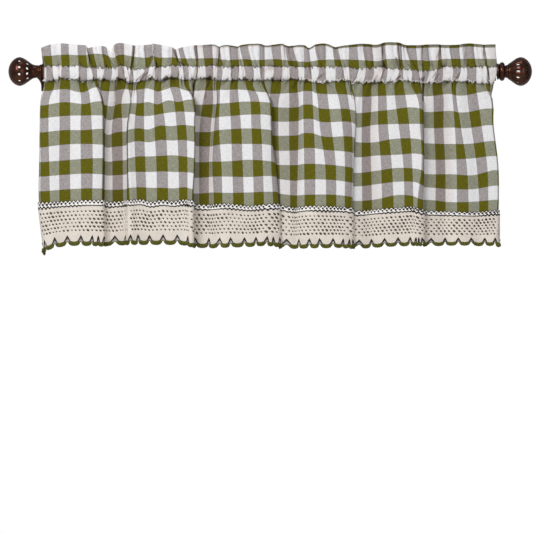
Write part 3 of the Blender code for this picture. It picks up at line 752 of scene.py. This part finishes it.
def gingham_material():
    """Checked cotton: green and white rows over dark and white columns, with crossing threads, slubs, a faint
    dark line where rows meet, and the tight pleats of the two seams; painted shade darkens a line in each
    seam's creases, and the shadow attribute adds its painted shade with a warm tint."""
    material, tree, shader = new_material("gingham cotton")
    place, across, up = flat_place(tree)
    shadow = tree.nodes.new("ShaderNodeAttribute")
    shadow.attribute_name = "shadow"
    shadow = shadow.outputs["Fac"]
    right = scaled(tree, across, 0.16, -5.6, True)
    near = near_seams(tree, up)
    pleats = noise(tree, stretched(tree, place, 2.2, 0.4, 1.0), 2.0)
    tight = noise(tree, stretched(tree, place, 3.0, 0.7, 1.0), 1.5)
    slub_along = noise(tree, stretched(tree, place, 4.0, 14.0, 1.0), 3.0)
    slub_up = noise(tree, stretched(tree, place, 14.0, 4.0, 1.0), 3.0)
    shaken_across = calc(tree, "MULTIPLY", near, scaled(tree, pleats, 0.8, -0.4))
    shaken_across = calc(tree, "ADD", shaken_across, scaled(tree, slub_along, 0.08, -0.04))
    across_checks = calc(tree, "ADD", across, shaken_across)
    up_rows = calc(tree, "ADD", up, calc(tree, "MULTIPLY", near, scaled(tree, tight, 0.9, -0.45)))
    cloth, dyed, band = check_colours(tree, across_checks, up_rows, right)
    warp = calc(tree, "SINE", calc(tree, "MULTIPLY", across, 2 * math.pi * WARP_THREADS))
    weft = calc(tree, "SINE", calc(tree, "MULTIPLY", up, 2 * math.pi * WEFT_THREADS))
    crossing = calc(tree, "MULTIPLY", warp, weft)
    uneven = scaled(tree, calc(tree, "ADD", slub_along, slub_up), 1.0, -1.0)
    slub = scaled(tree, calc(tree, "MULTIPLY", uneven, scaled(tree, dyed, 0.5, 0.4)), 1.0, 1.0)
    shade = calc(tree, "MULTIPLY", scaled(tree, crossing, 0.09, 1.0), slub)
    row_line = scaled(tree, calc(tree, "ABSOLUTE", band), 3.5, 0.72, True)
    shade = calc(tree, "MULTIPLY", shade, row_line)
    # Painted shade: a dark, uneven line along each seam, where its creases lie in shade
    for row in SEAM_ROWS:
        off = calc(tree, "ADD", calc(tree, "SUBTRACT", up_rows, row), scaled(tree, tight, 0.3, -0.15))
        width = calc(tree, "ADD", scaled(tree, pleats, 0.34, -0.12), scaled(tree, shadow, 0.10, 0.0))
        width = calc(tree, "MULTIPLY", width, scaled(tree, right, -0.4, 1.0))
        across_crease = calc(tree, "DIVIDE", calc(tree, "ABSOLUTE", off), calc(tree, "MAXIMUM", width, 0.01))
        crease = calc(tree, "SUBTRACT", 1.0, across_crease, True)
        shade = calc(tree, "MULTIPLY", shade, scaled(tree, crease, -0.9, 1.0))
    colour = multiplied(tree, cloth, grey_of(tree, shade))
    tint = mix_colour(tree, scaled(tree, shadow, 7.0, 0.0, True), (1.0, 1.0, 1.0), SHADE_TINT)
    colour = multiplied(tree, multiplied(tree, colour, tint), grey_of(tree, scaled(tree, shadow, -0.93, 1.0)))
    tree.links.new(colour, shader.inputs["Base Color"])
    height = calc(tree, "MULTIPLY", near, scaled(tree, pleats, 3.0, 0.0))
    height = calc(tree, "ADD", height, calc(tree, "MULTIPLY", near, scaled(tree, tight, 1.8, 0.0)))
    height = calc(tree, "ADD", height, scaled(tree, crossing, 0.03, 0.0))
    height = calc(tree, "ADD", height, scaled(tree, slub, 0.15, 0.0))
    tree.links.new(bump(tree, height, 0.9, 0.0016), shader.inputs["Normal"])
    shader.inputs["Roughness"].default_value = 0.9
    shader.inputs["Specular IOR Level"].default_value = 0.2
    return material


def lace_material():
    """Lace thread, whiter in the picots at its top, with uneven shade and small stitches."""
    material, tree, shader = new_material("cream lace thread")
    place, _, down = flat_place(tree)
    stitches = noise(tree, stretched(tree, place, 14.0, 60.0, 1.0), 2.0)
    clouds = noise(tree, stretched(tree, place, 0.8, 3.0, 1.0), 2.0)
    top = scaled(tree, down, -14.0, 2.1, True)
    colour = mix_colour(tree, top, linear(219, 210, 200), linear(246, 243, 240))
    shade = calc(tree, "MULTIPLY", scaled(tree, stitches, 0.5, 0.72), scaled(tree, clouds, 0.3, 0.85))
    tree.links.new(multiplied(tree, colour, grey_of(tree, shade)), shader.inputs["Base Color"])
    tree.links.new(bump(tree, stitches, 0.8, 0.0008), shader.inputs["Normal"])
    shader.inputs["Roughness"].default_value = 0.92
    shader.inputs["Specular IOR Level"].default_value = 0.2
    return material


def plain_material(name, dark, light, flecks, bump_height, roughness, metallic=0.0, specular=0.3):
    """A finish between two colours in flecks, flecks being their number to a metre."""
    material, tree, shader = new_material(name)
    place = tree.nodes.new("ShaderNodeTexCoord").outputs["Object"]
    fleck = noise(tree, stretched(tree, place, flecks, flecks, flecks), 3.0)
    fleck = scaled(tree, fleck, 2.0, -0.5, True)
    tree.links.new(mix_colour(tree, fleck, dark, light), shader.inputs["Base Color"])
    tree.links.new(bump(tree, fleck, 0.6, bump_height), shader.inputs["Normal"])
    shader.inputs["Roughness"].default_value = roughness
    shader.inputs["Metallic"].default_value = metallic
    shader.inputs["Specular IOR Level"].default_value = specular
    return material


# The cloth


def half_path(pocket_rows, heading_rows):
    """Half of the cloth's way over the rod as columns of height, offset and gather size: from the
    heading's rounded top down to the upper seam, and round the rod along half an oval to the lower seam."""
    turn = np.linspace(0, math.pi, pocket_rows)
    middle = (SEAM_UPPER + SEAM_LOWER) / 2
    half = (SEAM_UPPER - SEAM_LOWER) / 2
    swell = np.sin(turn) ** 0.7
    pocket = np.stack([
        middle + half * np.cos(turn),
        -LAYER_OFFSET - POCKET_BULGE * swell,
        PUCKER_AT_SEAM + swell * (PUCKER_IN_POCKET - PUCKER_AT_SEAM),
    ], axis=1)
    share = np.linspace(0, 1, heading_rows + 1)[:-1] ** 0.8
    heading = np.stack([
        HEADING_TOP - 1 + share * (SEAM_UPPER - HEADING_TOP + 1),
        np.full(heading_rows, -LAYER_OFFSET),
        PUCKER_IN_HEADING + share * (PUCKER_AT_SEAM - PUCKER_IN_HEADING),
    ], axis=1)
    rim_turn = np.linspace(0, math.pi / 2, 4)[:-1]
    rim = np.stack([
        HEADING_TOP - 1 + np.cos(rim_turn),
        -LAYER_OFFSET * np.sin(rim_turn),
        np.full(3, PUCKER_IN_HEADING),
    ], axis=1)
    return np.concatenate([rim, heading, pocket])


def gingham_cloth():
    """The whole panel as one sheet on a grid: up behind the rod, over the heading's top, down its front
    and round the rod, then the skirt down to the lace, its rows closest together at the seam."""
    check = np.linspace(0, CHECKS_ACROSS, CHECKS_ACROSS * STATIONS_PER_CHECK + 1)
    top = heading_edge(check)
    pocket = upper_seam(check) - lower_seam(check)
    heading = top - upper_seam(check)
    front = half_path(17, 14)
    back = half_path(7, 6)[:0:-1] * (1, -1, 1)
    share = np.linspace(0, 1, SKIRT_ROWS + 1)[1:, None] ** 1.3
    skirt = SEAM_LOWER + share * (hem_height(check) - LACE_OVERLAP - lower_seam(check))
    flat_row = np.full((SKIRT_ROWS, 1), 1.0)
    runs = [
        (back[:, [0]], back[:, [1]], back[:, [2]]),
        (front[:, [0]], front[:, [1]], front[:, [2]]),
        (skirt, -LAYER_OFFSET * flat_row, PUCKER_AT_SEAM * flat_row),
    ]
    points, rows, shadows = [], [], []
    for height, offset, amount in runs:
        in_pocket = (height - SEAM_LOWER) / (SEAM_UPPER - SEAM_LOWER)
        below = np.minimum(height - SEAM_LOWER, 0)
        above = np.clip((height - SEAM_UPPER) / (HEADING_TOP - SEAM_UPPER), 0, None)
        height = lower_seam(check) + np.clip(in_pocket, 0, 1) * pocket + below + above * heading
        place = placed(check, height, offset, amount)
        points.append(place)
        rows.append(row_at(check, height) + seam_shift(check, height))
        shadows.append(shadow_of(check, height, place[..., 0]))
    rows[0] = 2 * row_at(check, top) - rows[0]
    rows = np.concatenate(rows)
    uv = np.stack([np.broadcast_to(check, rows.shape), rows], axis=-1)
    faces = grid_faces(*rows.shape)
    made = put_mesh("gingham_cloth", np.concatenate(points), faces, uv, np.concatenate(shadows))
    add_wall(made, CLOTH_WALL)
    return dress(made, gingham_material(), "valance_cloth")


# The lace. A place on it is a column of its folds, and a share of the way from its upper edge to its foot.
PICOT_HOLE = 0.06
STITCH_LINE = 0.12
FIRST_HOLES = 0.245
HOLE_PITCH = 0.082
HOLE_ROWS = 6
NOTCH_TOP = 0.765
TAB_FOOT = 0.94
HOLE_HALF_WIDTH = 1.85
WIDEST_HOLE = 0.13
HOLE_HALF_HEIGHT = 1.85
HOLE_SIZES = (0.7, 1.2)
PICOT_HOLE_SIZE = 1.1
CROWDED = 9.0
HOLE_LEAN = 0.4
# How far each hole's lens of painted shade reaches past its rim
HOLE_SHADE_SPREAD = 1.2

# The notches between the scallops: their places along the rod, the height at which these are taken as a
# share, how near a column lies to count as there, the column of the one notch that a fold hides, and a number
# above every depth
NOTCH_PLACES = (
    -394.2, -376.2, -354.3, -331.5, -311.5, -300.1, -289.8, -271.7, -253.7, -244.6, -230.7, -210.8,
    -187.1, -163.3, -144.4, -130.7, -108.1, -88.5, -69.0, -45.6, -25.4, -4.7, 5.8, 16.8, 29.1, 50.1,
    68.0, 85.8, 109.3, 127.2, 138.9, 144.5, 156.3, 178.0, 199.9, 223.4, 244.4, 254.6, 260.2, 265.6,
    282.8, 306.2, 328.9, 352.3, 375.1, 393.8,
)
NOTCH_SHARE = 0.9
NOTCH_NEAR = 0.6
HIDDEN_NOTCH = 19.5
FAR_AWAY = 1000.0


def check_of(column):
    """The check line at a column of the lace."""
    return np.interp(column, COLUMN_TABLE[:, 1], COLUMN_TABLE[:, 0])


def lace_drop(column):
    """The lace's height at a column."""
    check = check_of(column)
    return hem_height(check) - foot_height(check)


def lace_at(column, share, forward=0.0):
    """Points on the lace, read off a fine regular net of places so that its mitred offset from the cloth
    stays even where the lace's own points bend round its holes."""
    base_column = np.linspace(0, LACE_COLUMNS, LACE_HOLES * CELL + 1)
    levels = np.linspace(-0.05, 1.1, 24)
    check = check_of(base_column)
    hem = hem_height(check)
    height = hem + levels[:, None] * (foot_height(check) - hem)
    base = placed(check, height, -LAYER_OFFSET - LACE_STAND_OFF, PUCKER_AT_SEAM)
    column, share = np.broadcast_arrays(column, share)
    right = np.clip(column / LACE_COLUMNS * (len(base_column) - 1), 0, len(base_column) - 1.001)
    below = (share - levels[0]) / (levels[-1] - levels[0]) * (len(levels) - 1)
    below = np.clip(below, 0, len(levels) - 1.001)
    left, top = right.astype(int), below.astype(int)
    part_x, part_y = (right - left)[..., None], (below - top)[..., None]
    upper = base[top, left] * (1 - part_x) + base[top, left + 1] * part_x
    lower = base[top + 1, left] * (1 - part_x) + base[top + 1, left + 1] * part_x
    points = upper * (1 - part_y) + lower * part_y
    points[..., 1] -= forward
    return points


def notch_columns():
    """The notches' columns from end to end: at each place, of the columns that a fold brings there, the
    one nearest the room."""
    column = np.linspace(0, LACE_COLUMNS, 100 * LACE_COLUMNS + 1)
    x, y, _ = lace_at(column, NOTCH_SHARE).T
    found = []
    for place in NOTCH_PLACES:
        away = abs(x - place)
        found.append(column[np.argmin(np.where(away < NOTCH_NEAR, y, FAR_AWAY + away))])
    return np.sort([0, HIDDEN_NOTCH, *found, LACE_COLUMNS])


NOTCHES = notch_columns()


def scallop_phase(column):
    """Where a column lies in its scallop: 0 and 1 at the notches, 0.5 at the tab's middle."""
    return np.interp(column, NOTCHES, np.arange(len(NOTCHES))) % 1


def along_scallops(count):
    """Columns from end to end, count of them to each scallop."""
    scallops = len(NOTCHES) - 1
    return np.interp(np.linspace(0, scallops, scallops * count + 1), np.arange(len(NOTCHES)), NOTCHES)


def tab_edge(column):
    """The cream tabs' lower edge as a share: high at the notches and rounded down to the tab's foot."""
    from_middle = abs(2 * scallop_phase(column) - 1)
    return TAB_FOOT - (TAB_FOOT - NOTCH_TOP) * from_middle ** 1.9


def net_holes():
    """The holes of the lace as arrays of column, share, half width in columns, half height in shares and
    row: row -1 under the picots and six staggered rows of net, uneven in size. Where a lace column is
    narrower than CROWDED in a fold, every other hole of the net is left closed."""
    rng = np.random.default_rng(7)
    holes = []
    for row in range(-1, HOLE_ROWS):
        shift = 0.5 if row >= 0 and row % 2 else 0.0
        count = LACE_HOLES - (1 if shift else 0)
        size = np.full(count, PICOT_HOLE_SIZE) if row < 0 else rng.uniform(*HOLE_SIZES, count)
        share = PICOT_HOLE if row < 0 else FIRST_HOLES + HOLE_PITCH * row
        place = np.arange(count) + 0.5 + shift
        holes.append(np.stack([place, np.full(count, share), size, np.full(count, row)]))
    column, share, size, row = np.concatenate(holes, axis=1)
    column *= LACE_COLUMNS / LACE_HOLES
    ends = [np.interp(check_of(column + side), CHECK_TABLE[:, 0], CHECK_TABLE[:, 7]) for side in (-0.3, 0.3)]
    width = (ends[1] - ends[0]) / 0.6
    size *= 1 + 0.12 * np.sin(0.9 * column + 0.4 * row)
    across = size * np.minimum(HOLE_HALF_WIDTH / width, WIDEST_HOLE)
    down = size * HOLE_HALF_HEIGHT / lace_drop(column)
    every_other = np.rint(column * LACE_HOLES / LACE_COLUMNS - 0.6).astype(int) % 2 == 0
    kept = (column > 0.6) & (column < LACE_COLUMNS - 0.4) & (every_other | (width > CROWDED) | (row < 0))
    return column[kept], share[kept], across[kept], down[kept], row[kept].astype(int)


def lace_border():
    """The net and its tabs as one sheet: a grid four cells to a hole each way, its points drawn in to
    round rims and the cells inside them left out, and rows of tabs down to the scalloped edge."""
    count = LACE_HOLES * CELL + 1
    column = np.linspace(0, LACE_COLUMNS, count)
    above = [0.0, PICOT_HOLE - 0.016, PICOT_HOLE, PICOT_HOLE + 0.016, 0.085, STITCH_LINE - 0.008,
             STITCH_LINE + 0.008, 0.15, 0.18]
    net = FIRST_HOLES + HOLE_PITCH * (np.arange(HOLE_ROWS * CELL + 1) / CELL - 0.5)
    top = np.concatenate([above, net])
    tabs = np.linspace(0, 1, 9)[1:, None]
    shares = np.concatenate([
        np.broadcast_to(top[:, None], (len(top), count)),
        top[-1] + tabs * (tab_edge(column) - top[-1]),
    ])
    shares[0] = 0.055 * abs(np.arange(count) % CELL - CELL // 2) / (CELL // 2)
    places = np.broadcast_to(column, shares.shape).copy()
    quads = np.ones((shares.shape[0] - 1, count - 1), bool)
    hole_column, _, half_across, half_down, row = net_holes()
    centre_row = np.where(row < 0, 2, len(above) + CELL // 2 + CELL * row)
    centre_column = np.rint(hole_column / LACE_COLUMNS * (count - 1)).astype(int)
    lean = np.where(row < 0, 0, HOLE_LEAN)
    pierce(places, shares, quads, centre_row, centre_column, (1, 1), half_across, half_down, lean)
    uv = np.stack([places, shares], axis=-1)
    made = put_mesh("lace_net", lace_at(places, shares), grid_faces(*shares.shape)[quads.ravel()], uv)
    add_wall(made, LACE_WALL)
    return dress(made, lace_material(), "lace_border")


def hole_painted_shade(name, material, under_picots):
    """Painted shade in the holes: a small dark lens in the middle of the lace's thickness in each hole."""
    column, share, across, down, row = net_holes()
    wanted = (row < 0) == under_picots
    column, share, across, down = (value[wanted] for value in (column, share, across, down))
    turn = np.linspace(0, 2 * math.pi, 8, endpoint=False)
    reach_across, reach_down = HOLE_SHADE_SPREAD * across[:, None], HOLE_SHADE_SPREAD * down[:, None]
    rim = lace_at(column[:, None] + np.cos(turn) * reach_across, share[:, None] + np.sin(turn) * reach_down)
    faces_out = [lace_at(column[:, None], share[:, None], forward) for forward in (0.15, -0.15)]
    points = np.concatenate([rim, *faces_out], axis=1)
    step = np.arange(8)
    following = (step + 1) % 8
    fan = np.concatenate([
        np.stack([step, np.full(8, 8), following], axis=1),
        np.stack([following, np.full(8, 9), step], axis=1),
    ])
    faces = (np.arange(len(column))[:, None, None] * 10 + fan[None]).reshape(-1, 3)
    return dress(put_mesh(name, points, faces), material)


def picot_shade_zigzag(material):
    """Painted shade between the picots: a dark zigzag tube just above their edge, where the cloth lies in the
    picots' shadow.
    """
    column = np.linspace(0.05, LACE_COLUMNS - 0.05, LACE_HOLES * 4 + 1)
    zigzag = abs((column / LACE_COLUMNS * LACE_HOLES) % 1 - 0.5) * 2
    path = lace_at(column, 0.06 * zigzag - 0.012, -0.3)
    return dress(put_tube("picot_shade_zigzag", path, 0.5, 0.4 + 0.9 * zigzag, 5), material)


def stitch_line(material):
    """The dark running thread under the picots: a tube that waves over and under the lace, with knots."""
    column = np.linspace(0.05, LACE_COLUMNS - 0.05, LACE_HOLES * 8 + 1)
    turn = 2 * math.pi * column / LACE_COLUMNS * LACE_HOLES
    uneven = 0.5 + 0.5 * np.sin(column * 1.3) * np.sin(column * 0.57 + 1)
    share = STITCH_LINE + uneven * np.where(np.sin(turn) > 0, 0.024, 0.016) * np.sin(turn)
    path = lace_at(column, share, LACE_WALL / 2 + 0.2 + 0.4 * np.sin(turn * 2))
    width = 0.8 + 1.3 * uneven * abs(np.sin(turn))
    return dress(put_tube("stitch_thread", path, 0.7, width), material)


def arc_thickness(column):
    """Half the green arcs' greatest height, which is less towards the right."""
    return ARC_HALF_HEIGHT * (1 - ARC_NARROWING * ease(15, LACE_COLUMNS, column))


def arc_size(column):
    """Half the green arcs' height, almost nothing at each notch."""
    body = np.clip(1.7 * np.sin(math.pi * scallop_phase(column)) - 0.22, 0.06, 1) ** 0.7
    return arc_thickness(column) * body


def arc_middle(column):
    """Height of the arcs' middle line above the foot: half an arc's height and a parabola for each
    scallop."""
    return arc_thickness(column) + SCALLOP_RISE * (2 * scallop_phase(column) - 1) ** 2


def scallop_edging(material):
    """The green crochet edge: one tube, thick under each tab, thin at each notch and ridged by stitches."""
    column = along_scallops(24)
    path = lace_at(column, 1 - arc_middle(column) / lace_drop(column), 0.4)
    ridges = 1 + 0.08 * np.cos(2 * math.pi * scallop_phase(column) * 8)
    size = arc_size(column) * ridges
    made = put_tube("scallop_crochet", path, 0.4 + 0.4 * size, size, 10)
    return dress(made, material, "scallop_edging")


def edge_knots(material):
    """The knot that ends the edging at the right, and the loose end that hangs at the left."""
    turn = np.linspace(0, math.pi, 9)
    right = lace_at(np.array([LACE_COLUMNS - 0.95]), np.array([0.95]), 1.0)[0]
    knot = right + np.stack([-4.6 * np.cos(turn), 0 * turn, 0 * turn], axis=1)
    parts = [("knot", knot, 3.0 * np.sin(turn) + 0.01, 4.4 * np.sin(turn) + 0.01)]
    left = lace_at(np.array([0.12]), np.array([0.93]), 0.8)[0]
    share = np.linspace(0, 1, 9)
    end = left + np.stack([0.5 + 2.0 * share, 0 * share, -8.5 * share], axis=1)
    parts.append(("loose_end", end, 1.8 - 1.2 * share, 0.8 + 2.2 * np.sin(math.pi * share) ** 0.8))
    return [
        dress(put_tube("edging_" + name, path, out, up, 10), material)
        for name, path, out, up in parts
    ]


def notch_gap_shade(material):
    """Painted shade in the gap at every notch: a dark tube down the notch's sides, thickest at its top and
    hidden by the green arcs.
    """
    column = along_scallops(16)
    from_middle = abs(2 * scallop_phase(column) - 1)
    path = lace_at(column, tab_edge(column) + 0.012, LACE_WALL / 2)
    return dress(put_tube("notch_gap_shade", path, 0.7, 0.5 + 1.4 * from_middle ** 3), material)


def notch_loops(material):
    """The loose loops that fill each notch: a sheet from the tabs' edge to the arcs, behind both."""
    column = along_scallops(12)
    top = tab_edge(column) - 0.02
    foot = 1 - (arc_middle(column) - 0.5) / lace_drop(column)
    share = np.linspace(0, 1, 5)[:, None]
    shares = top + share * (foot - top)
    uv = np.stack([np.broadcast_to(column, shares.shape), shares], axis=-1)
    made = put_mesh("notch_loops", lace_at(column, shares, -0.4), grid_faces(*shares.shape), uv)
    add_wall(made, 0.6)
    return dress(made, material)


# Metal. The finials' outlines: the distance along the axis from the collar's outer face, and the radius.
BALL_OUTLINE = (
    # along, radius
    (47.0, 0.3), (46.7, 3.5), (45.6, 8.5), (43.0, 14.5), (38.0, 20.5), (32.0, 24.2), (27.0, 25.2),
    (21.0, 23.6), (14.0, 19.3),
)
NECK_OUTLINES = {
    -1: (
        (9.5, 16.0), (6.0, 13.6), (3.6, 12.2), (1.4, 11.6), (-0.8, 11.2), (-2.6, 10.9), (-4.2, 11.1),
        (-6.0, 10.8), (-7.6, 11.2), (-9.6, 12.5), (-11.0, 12.5), (-11.4, 11.5), (-11.4, 8.6),
    ),
    1: (
        (7.0, 14.4), (5.6, 13.7), (4.0, 11.6), (2.6, 11.9), (1.2, 10.4), (0.0, 10.6), (-2.0, 14.6),
        (-5.7, 16.5), (-9.4, 14.6), (-11.4, 11.5), (-11.4, 8.6),
    ),
}
COLLAR_FACE = 411.7
FINIAL_SPACING = 1.05
FINIAL_CELLS = 96
FINIAL_WALL = 1.5
HOLES_ROUND = 12
# Each ring of holes: its place along the axis, half its holes' length and width, and its first hole's angle
FINIAL_RINGS = {
    -1: ((26.2, 2.4, 2.4, 14.0), (12.6, 2.8, 2.3, 14.0)),
    1: ((37.2, 2.0, 1.9, -5.0), (20.8, 3.8, 1.7, 1.0)),
}
# How far the far wall's holes lie outwards and up, for each millimetre across, to be seen through
SEEN_OUT = 0.066
SEEN_UP = 0.053
# The right bracket's eye, arm and plate, and the hole for the rod
EYE_RADIUS = 14.0
EYE_HOLE = 8.6
EYE_DEPTH = 2.5
ARM_HALF_HEIGHT = 5.0
PLATE_THICKNESS = 3.0
PLATE_HALF_HEIGHT = 12.5

# The cup's outline in x and z: down its outer edge and back up inside, as many points on each
CUP_OUTLINE = (
    (-409.6, -6.0), (-409.0, -11.0), (-405.4, -14.5), (-402.8, -19.0), (-401.5, -23.0), (-401.2, -34.2),
    (-396.8, -34.2), (-396.8, -23.0), (-396.8, -19.0), (-396.8, -14.5), (-396.8, -11.0), (-396.8, -6.0),
)
CUP_NEAR = 3.0
CUP_FAR = 7.0


def finial(side, material):
    """A pierced ball with its neck and collar: the outline turned about the rod's axis on a grid, with
    rings of holes opened in it, the far wall's holes in line with the near ones."""
    outline = np.array(BALL_OUTLINE + NECK_OUTLINES[side])
    knot = np.concatenate([[0], np.cumsum(np.hypot(*np.diff(outline, axis=0).T))])
    way = np.linspace(0, knot[-1], int(knot[-1] / FINIAL_SPACING))
    along_of_way, radius_of_way = smooth_curve(knot, outline, way)
    angle = np.linspace(0, 2 * math.pi, FINIAL_CELLS, endpoint=False)
    angles = np.broadcast_to(angle, (len(way), FINIAL_CELLS)).copy()
    ways = np.broadcast_to(way[:, None], angles.shape).copy()
    quads = np.ones((len(way) - 1, FINIAL_CELLS), bool)
    for along, half_length, half_width, first in FINIAL_RINGS[side]:
        turn = np.radians(first + 360 / HOLES_ROUND * np.arange(HOLES_ROUND))
        radius = np.interp(along, along_of_way[::-1], radius_of_way[::-1])
        chord = 2 * radius * np.clip(-np.cos(turn), 0, 1)
        height = radius * np.sin(turn) + SEEN_UP * chord
        row = np.argmin(abs(along_of_way[:, None] - along - SEEN_OUT * chord), axis=0)
        turn = np.where(chord > 0, math.pi - np.arcsin(np.clip(height / radius_of_way[row], -1, 1)), turn)
        column = np.rint(turn / (2 * math.pi) * FINIAL_CELLS).astype(int) % FINIAL_CELLS
        cells = (3 if half_length > 3.5 else 2, 2)
        pierce(angles, ways, quads, row, column, cells, half_width / radius_of_way[row], half_length)
    along = np.interp(ways, way, along_of_way)
    radius = np.interp(ways, way, radius_of_way)
    depth, height = -radius * np.cos(angles), radius * np.sin(angles)
    points = np.stack([side * (COLLAR_FACE + along), depth, height], axis=-1)
    faces = grid_faces(*angles.shape, wrap_columns=True)[quads.ravel()]
    if side > 0:
        faces = faces[:, ::-1]
    name = "finial_left" if side < 0 else "finial_right"
    made = put_mesh("pierced_" + name, points, faces)
    wall = add_wall(made, FINIAL_WALL)
    wall.modifiers["wall"].offset = -1
    return dress(made, material, name)


def hidden_bracket(material):
    """The right bracket, low enough to hide behind the pocket: the eye and its arm as one outline about
    the rod's axis, the greater of a circle and a strip to the wall, and a plain plate."""
    low, high = ((np.array(corner) - ROD_MIDDLE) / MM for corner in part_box("bracket_right"))
    corner = math.atan2(ARM_HALF_HEIGHT, high[1])
    circle = np.linspace(0, 2 * math.pi, 96, endpoint=False)
    turn = np.sort(np.concatenate([circle, [corner, 2 * math.pi - corner]]))
    to_wall = high[1] / np.maximum(np.cos(turn), 1e-6)
    to_side = ARM_HALF_HEIGHT / np.maximum(abs(np.sin(turn)), 1e-6)
    strip = np.minimum(to_wall, to_side)
    eye_face = high[0] - EYE_DEPTH
    outer = np.where(np.cos(turn) > 0, np.maximum(EYE_RADIUS, strip), EYE_RADIUS)
    rings = [
        np.stack([np.full(len(turn), x), radius * np.cos(turn), radius * np.sin(turn)], axis=-1)
        for radius, x in ((EYE_HOLE, eye_face), (outer, eye_face), (outer, high[0]), (EYE_HOLE, high[0]))
    ]
    faces = grid_faces(4, len(turn), wrap_rows=True, wrap_columns=True)
    depths = (high[1] - PLATE_THICKNESS, high[1])
    heights = (-PLATE_HALF_HEIGHT, PLATE_HALF_HEIGHT)
    corners = [(x, y, z) for x in (low[0], high[0]) for y in depths for z in heights]
    plate = np.array([(0, 1, 3, 2), (4, 6, 7, 5), (0, 4, 5, 1), (2, 3, 7, 6), (0, 2, 6, 4), (1, 5, 7, 3)])
    points = np.concatenate([*rings, corners])
    made = put_mesh("hidden_bracket_right", points, np.concatenate([faces, plate + 4 * len(turn)]))
    return dress(made, material, "bracket_right")


def bracket_cup(material):
    """The left bracket's cup, seen beside the cloth: a flat shape that flares out under the finial's
    neck and runs down along the plate's edge, as a closed block."""
    outline = np.array(CUP_OUTLINE)
    count = len(outline)
    corners = [
        np.column_stack([outline[:, 0], np.full(count, y), outline[:, 1]])
        for y in (CUP_NEAR, CUP_FAR)
    ]
    step = np.arange(count)
    sides = np.stack([step, step + count, (step + 1) % count + count, (step + 1) % count], axis=1)
    half = count // 2
    strip = np.arange(half - 1)
    front = np.stack([strip, strip + 1, count - 2 - strip, count - 1 - strip], axis=1)
    faces = np.concatenate([sides, front, front[:, ::-1] + count])
    return dress(put_mesh("bracket_left_cup", np.concatenate(corners), faces), material)


def lights_and_camera():
    """Soft studio light from the upper left, a weaker fill from the right, and the photograph's camera."""
    middle = Vector(ROD_MIDDLE)
    for name, offset, size, power in (
        ("key", (-1.8, -2.4, 1.4), 1.1, 78.0),
        ("fill", (2.0, -3.0, 0.1), 2.0, 22.0),
        ("top", (0.2, -0.6, 2.4), 1.0, 12.0),
    ):
        lamp = bpy.data.lights.new(name, "AREA")
        lamp.size = size
        lamp.energy = power
        holder = bpy.data.objects.new(name, lamp)
        bpy.context.scene.collection.objects.link(holder)
        holder.location = middle + Vector(offset)
        aim = middle + Vector((0, 0, -0.13)) - holder.location
        holder.rotation_euler = aim.to_track_quat("-Z", "Y").to_euler()
    data = bpy.data.cameras.new("camera")
    data.lens = LENS
    data.sensor_width = SENSOR
    data.clip_end = 100
    camera = bpy.data.objects.new("camera", data)
    bpy.context.scene.collection.objects.link(camera)
    distance = VIEW_WIDTH * LENS / SENSOR
    camera.location = middle + Vector((VIEW_MIDDLE_X * MM, -distance * MM, VIEW_MIDDLE_Z * MM))
    camera.rotation_euler = (math.pi / 2, 0, 0)
    bpy.context.scene.camera = camera


def world():
    """A white surround that the camera sees as pure white and that lights the part more softly."""
    made = bpy.data.worlds.new("studio")
    bpy.context.scene.world = made
    made.use_nodes = True
    tree = made.node_tree
    background = tree.nodes["Background"]
    background.inputs["Color"].default_value = (1, 1, 1, 1)
    seen = tree.nodes.new("ShaderNodeLightPath").outputs["Is Camera Ray"]
    tree.links.new(scaled(tree, seen, 0.65, 0.35), background.inputs["Strength"])
    bpy.context.scene.view_settings.view_transform = "Standard"


def floor():
    """A plain pale floor, well below the hanging valance."""
    side = FLOOR_SIDE / 2
    corners = np.array([(-side, -side), (side, -side), (side, side), (-side, side)])
    points = np.column_stack([corners, np.full(4, -FLOOR_DROP)])
    made = put_mesh("floor", points, [[0, 1, 2, 3]])
    pale = plain_material("pale floor", linear(232, 231, 228), linear(240, 239, 236), 40.0, 0.0001, 0.9)
    made.data.materials.append(pale)


def main():
    """Every piece in its finish, then the light, the camera and the surround."""
    loops = plain_material("grey loops", linear(60, 55, 48), linear(225, 220, 212), 700.0, 0.0006, 0.9)
    # Painted shade: the dark finish of the lenses in the net's holes
    shade = plain_material("painted hole shade", linear(58, 50, 42), linear(104, 92, 80), 900.0, 0.0002, 0.95)
    # Dark thread for the running stitch; the same finish is painted shade in the picots' holes, between the
    # picots and in the notches
    dark = plain_material("dark thread and painted shade", linear(26, 22, 26), linear(56, 50, 48), 900.0, 0.0003, 0.9)
    green = plain_material("green crochet", linear(38, 42, 6), linear(100, 100, 24), 350.0, 0.0008, 0.85)
    bronze = plain_material(
        "dark bronze", linear(38, 19, 15), linear(88, 54, 40), 55.0, 0.0003, 0.28,
        metallic=0.85, specular=0.5,
    )
    cloth = gingham_cloth()
    lace = lace_border()
    trim = [
        # Painted shade in the holes of the net and of the picots
        hole_painted_shade("net_hole_painted_shade", shade, False),
        hole_painted_shade("picot_hole_painted_shade", dark, True),
        picot_shade_zigzag(dark),
        stitch_line(dark),
        scallop_edging(green),
        *edge_knots(green),
        notch_gap_shade(dark),
        notch_loops(loops),
    ]
    for side in (-1, 1):
        finial(side, bronze)
    hidden_bracket(bronze)
    bracket_cup(bronze)
    for name in ("rod", "bracket_left"):
        node = frame["nodes"][name]
        node.data.materials.clear()
        node.data.materials.append(bronze)
    lights_and_camera()
    world()
    floor()


main()
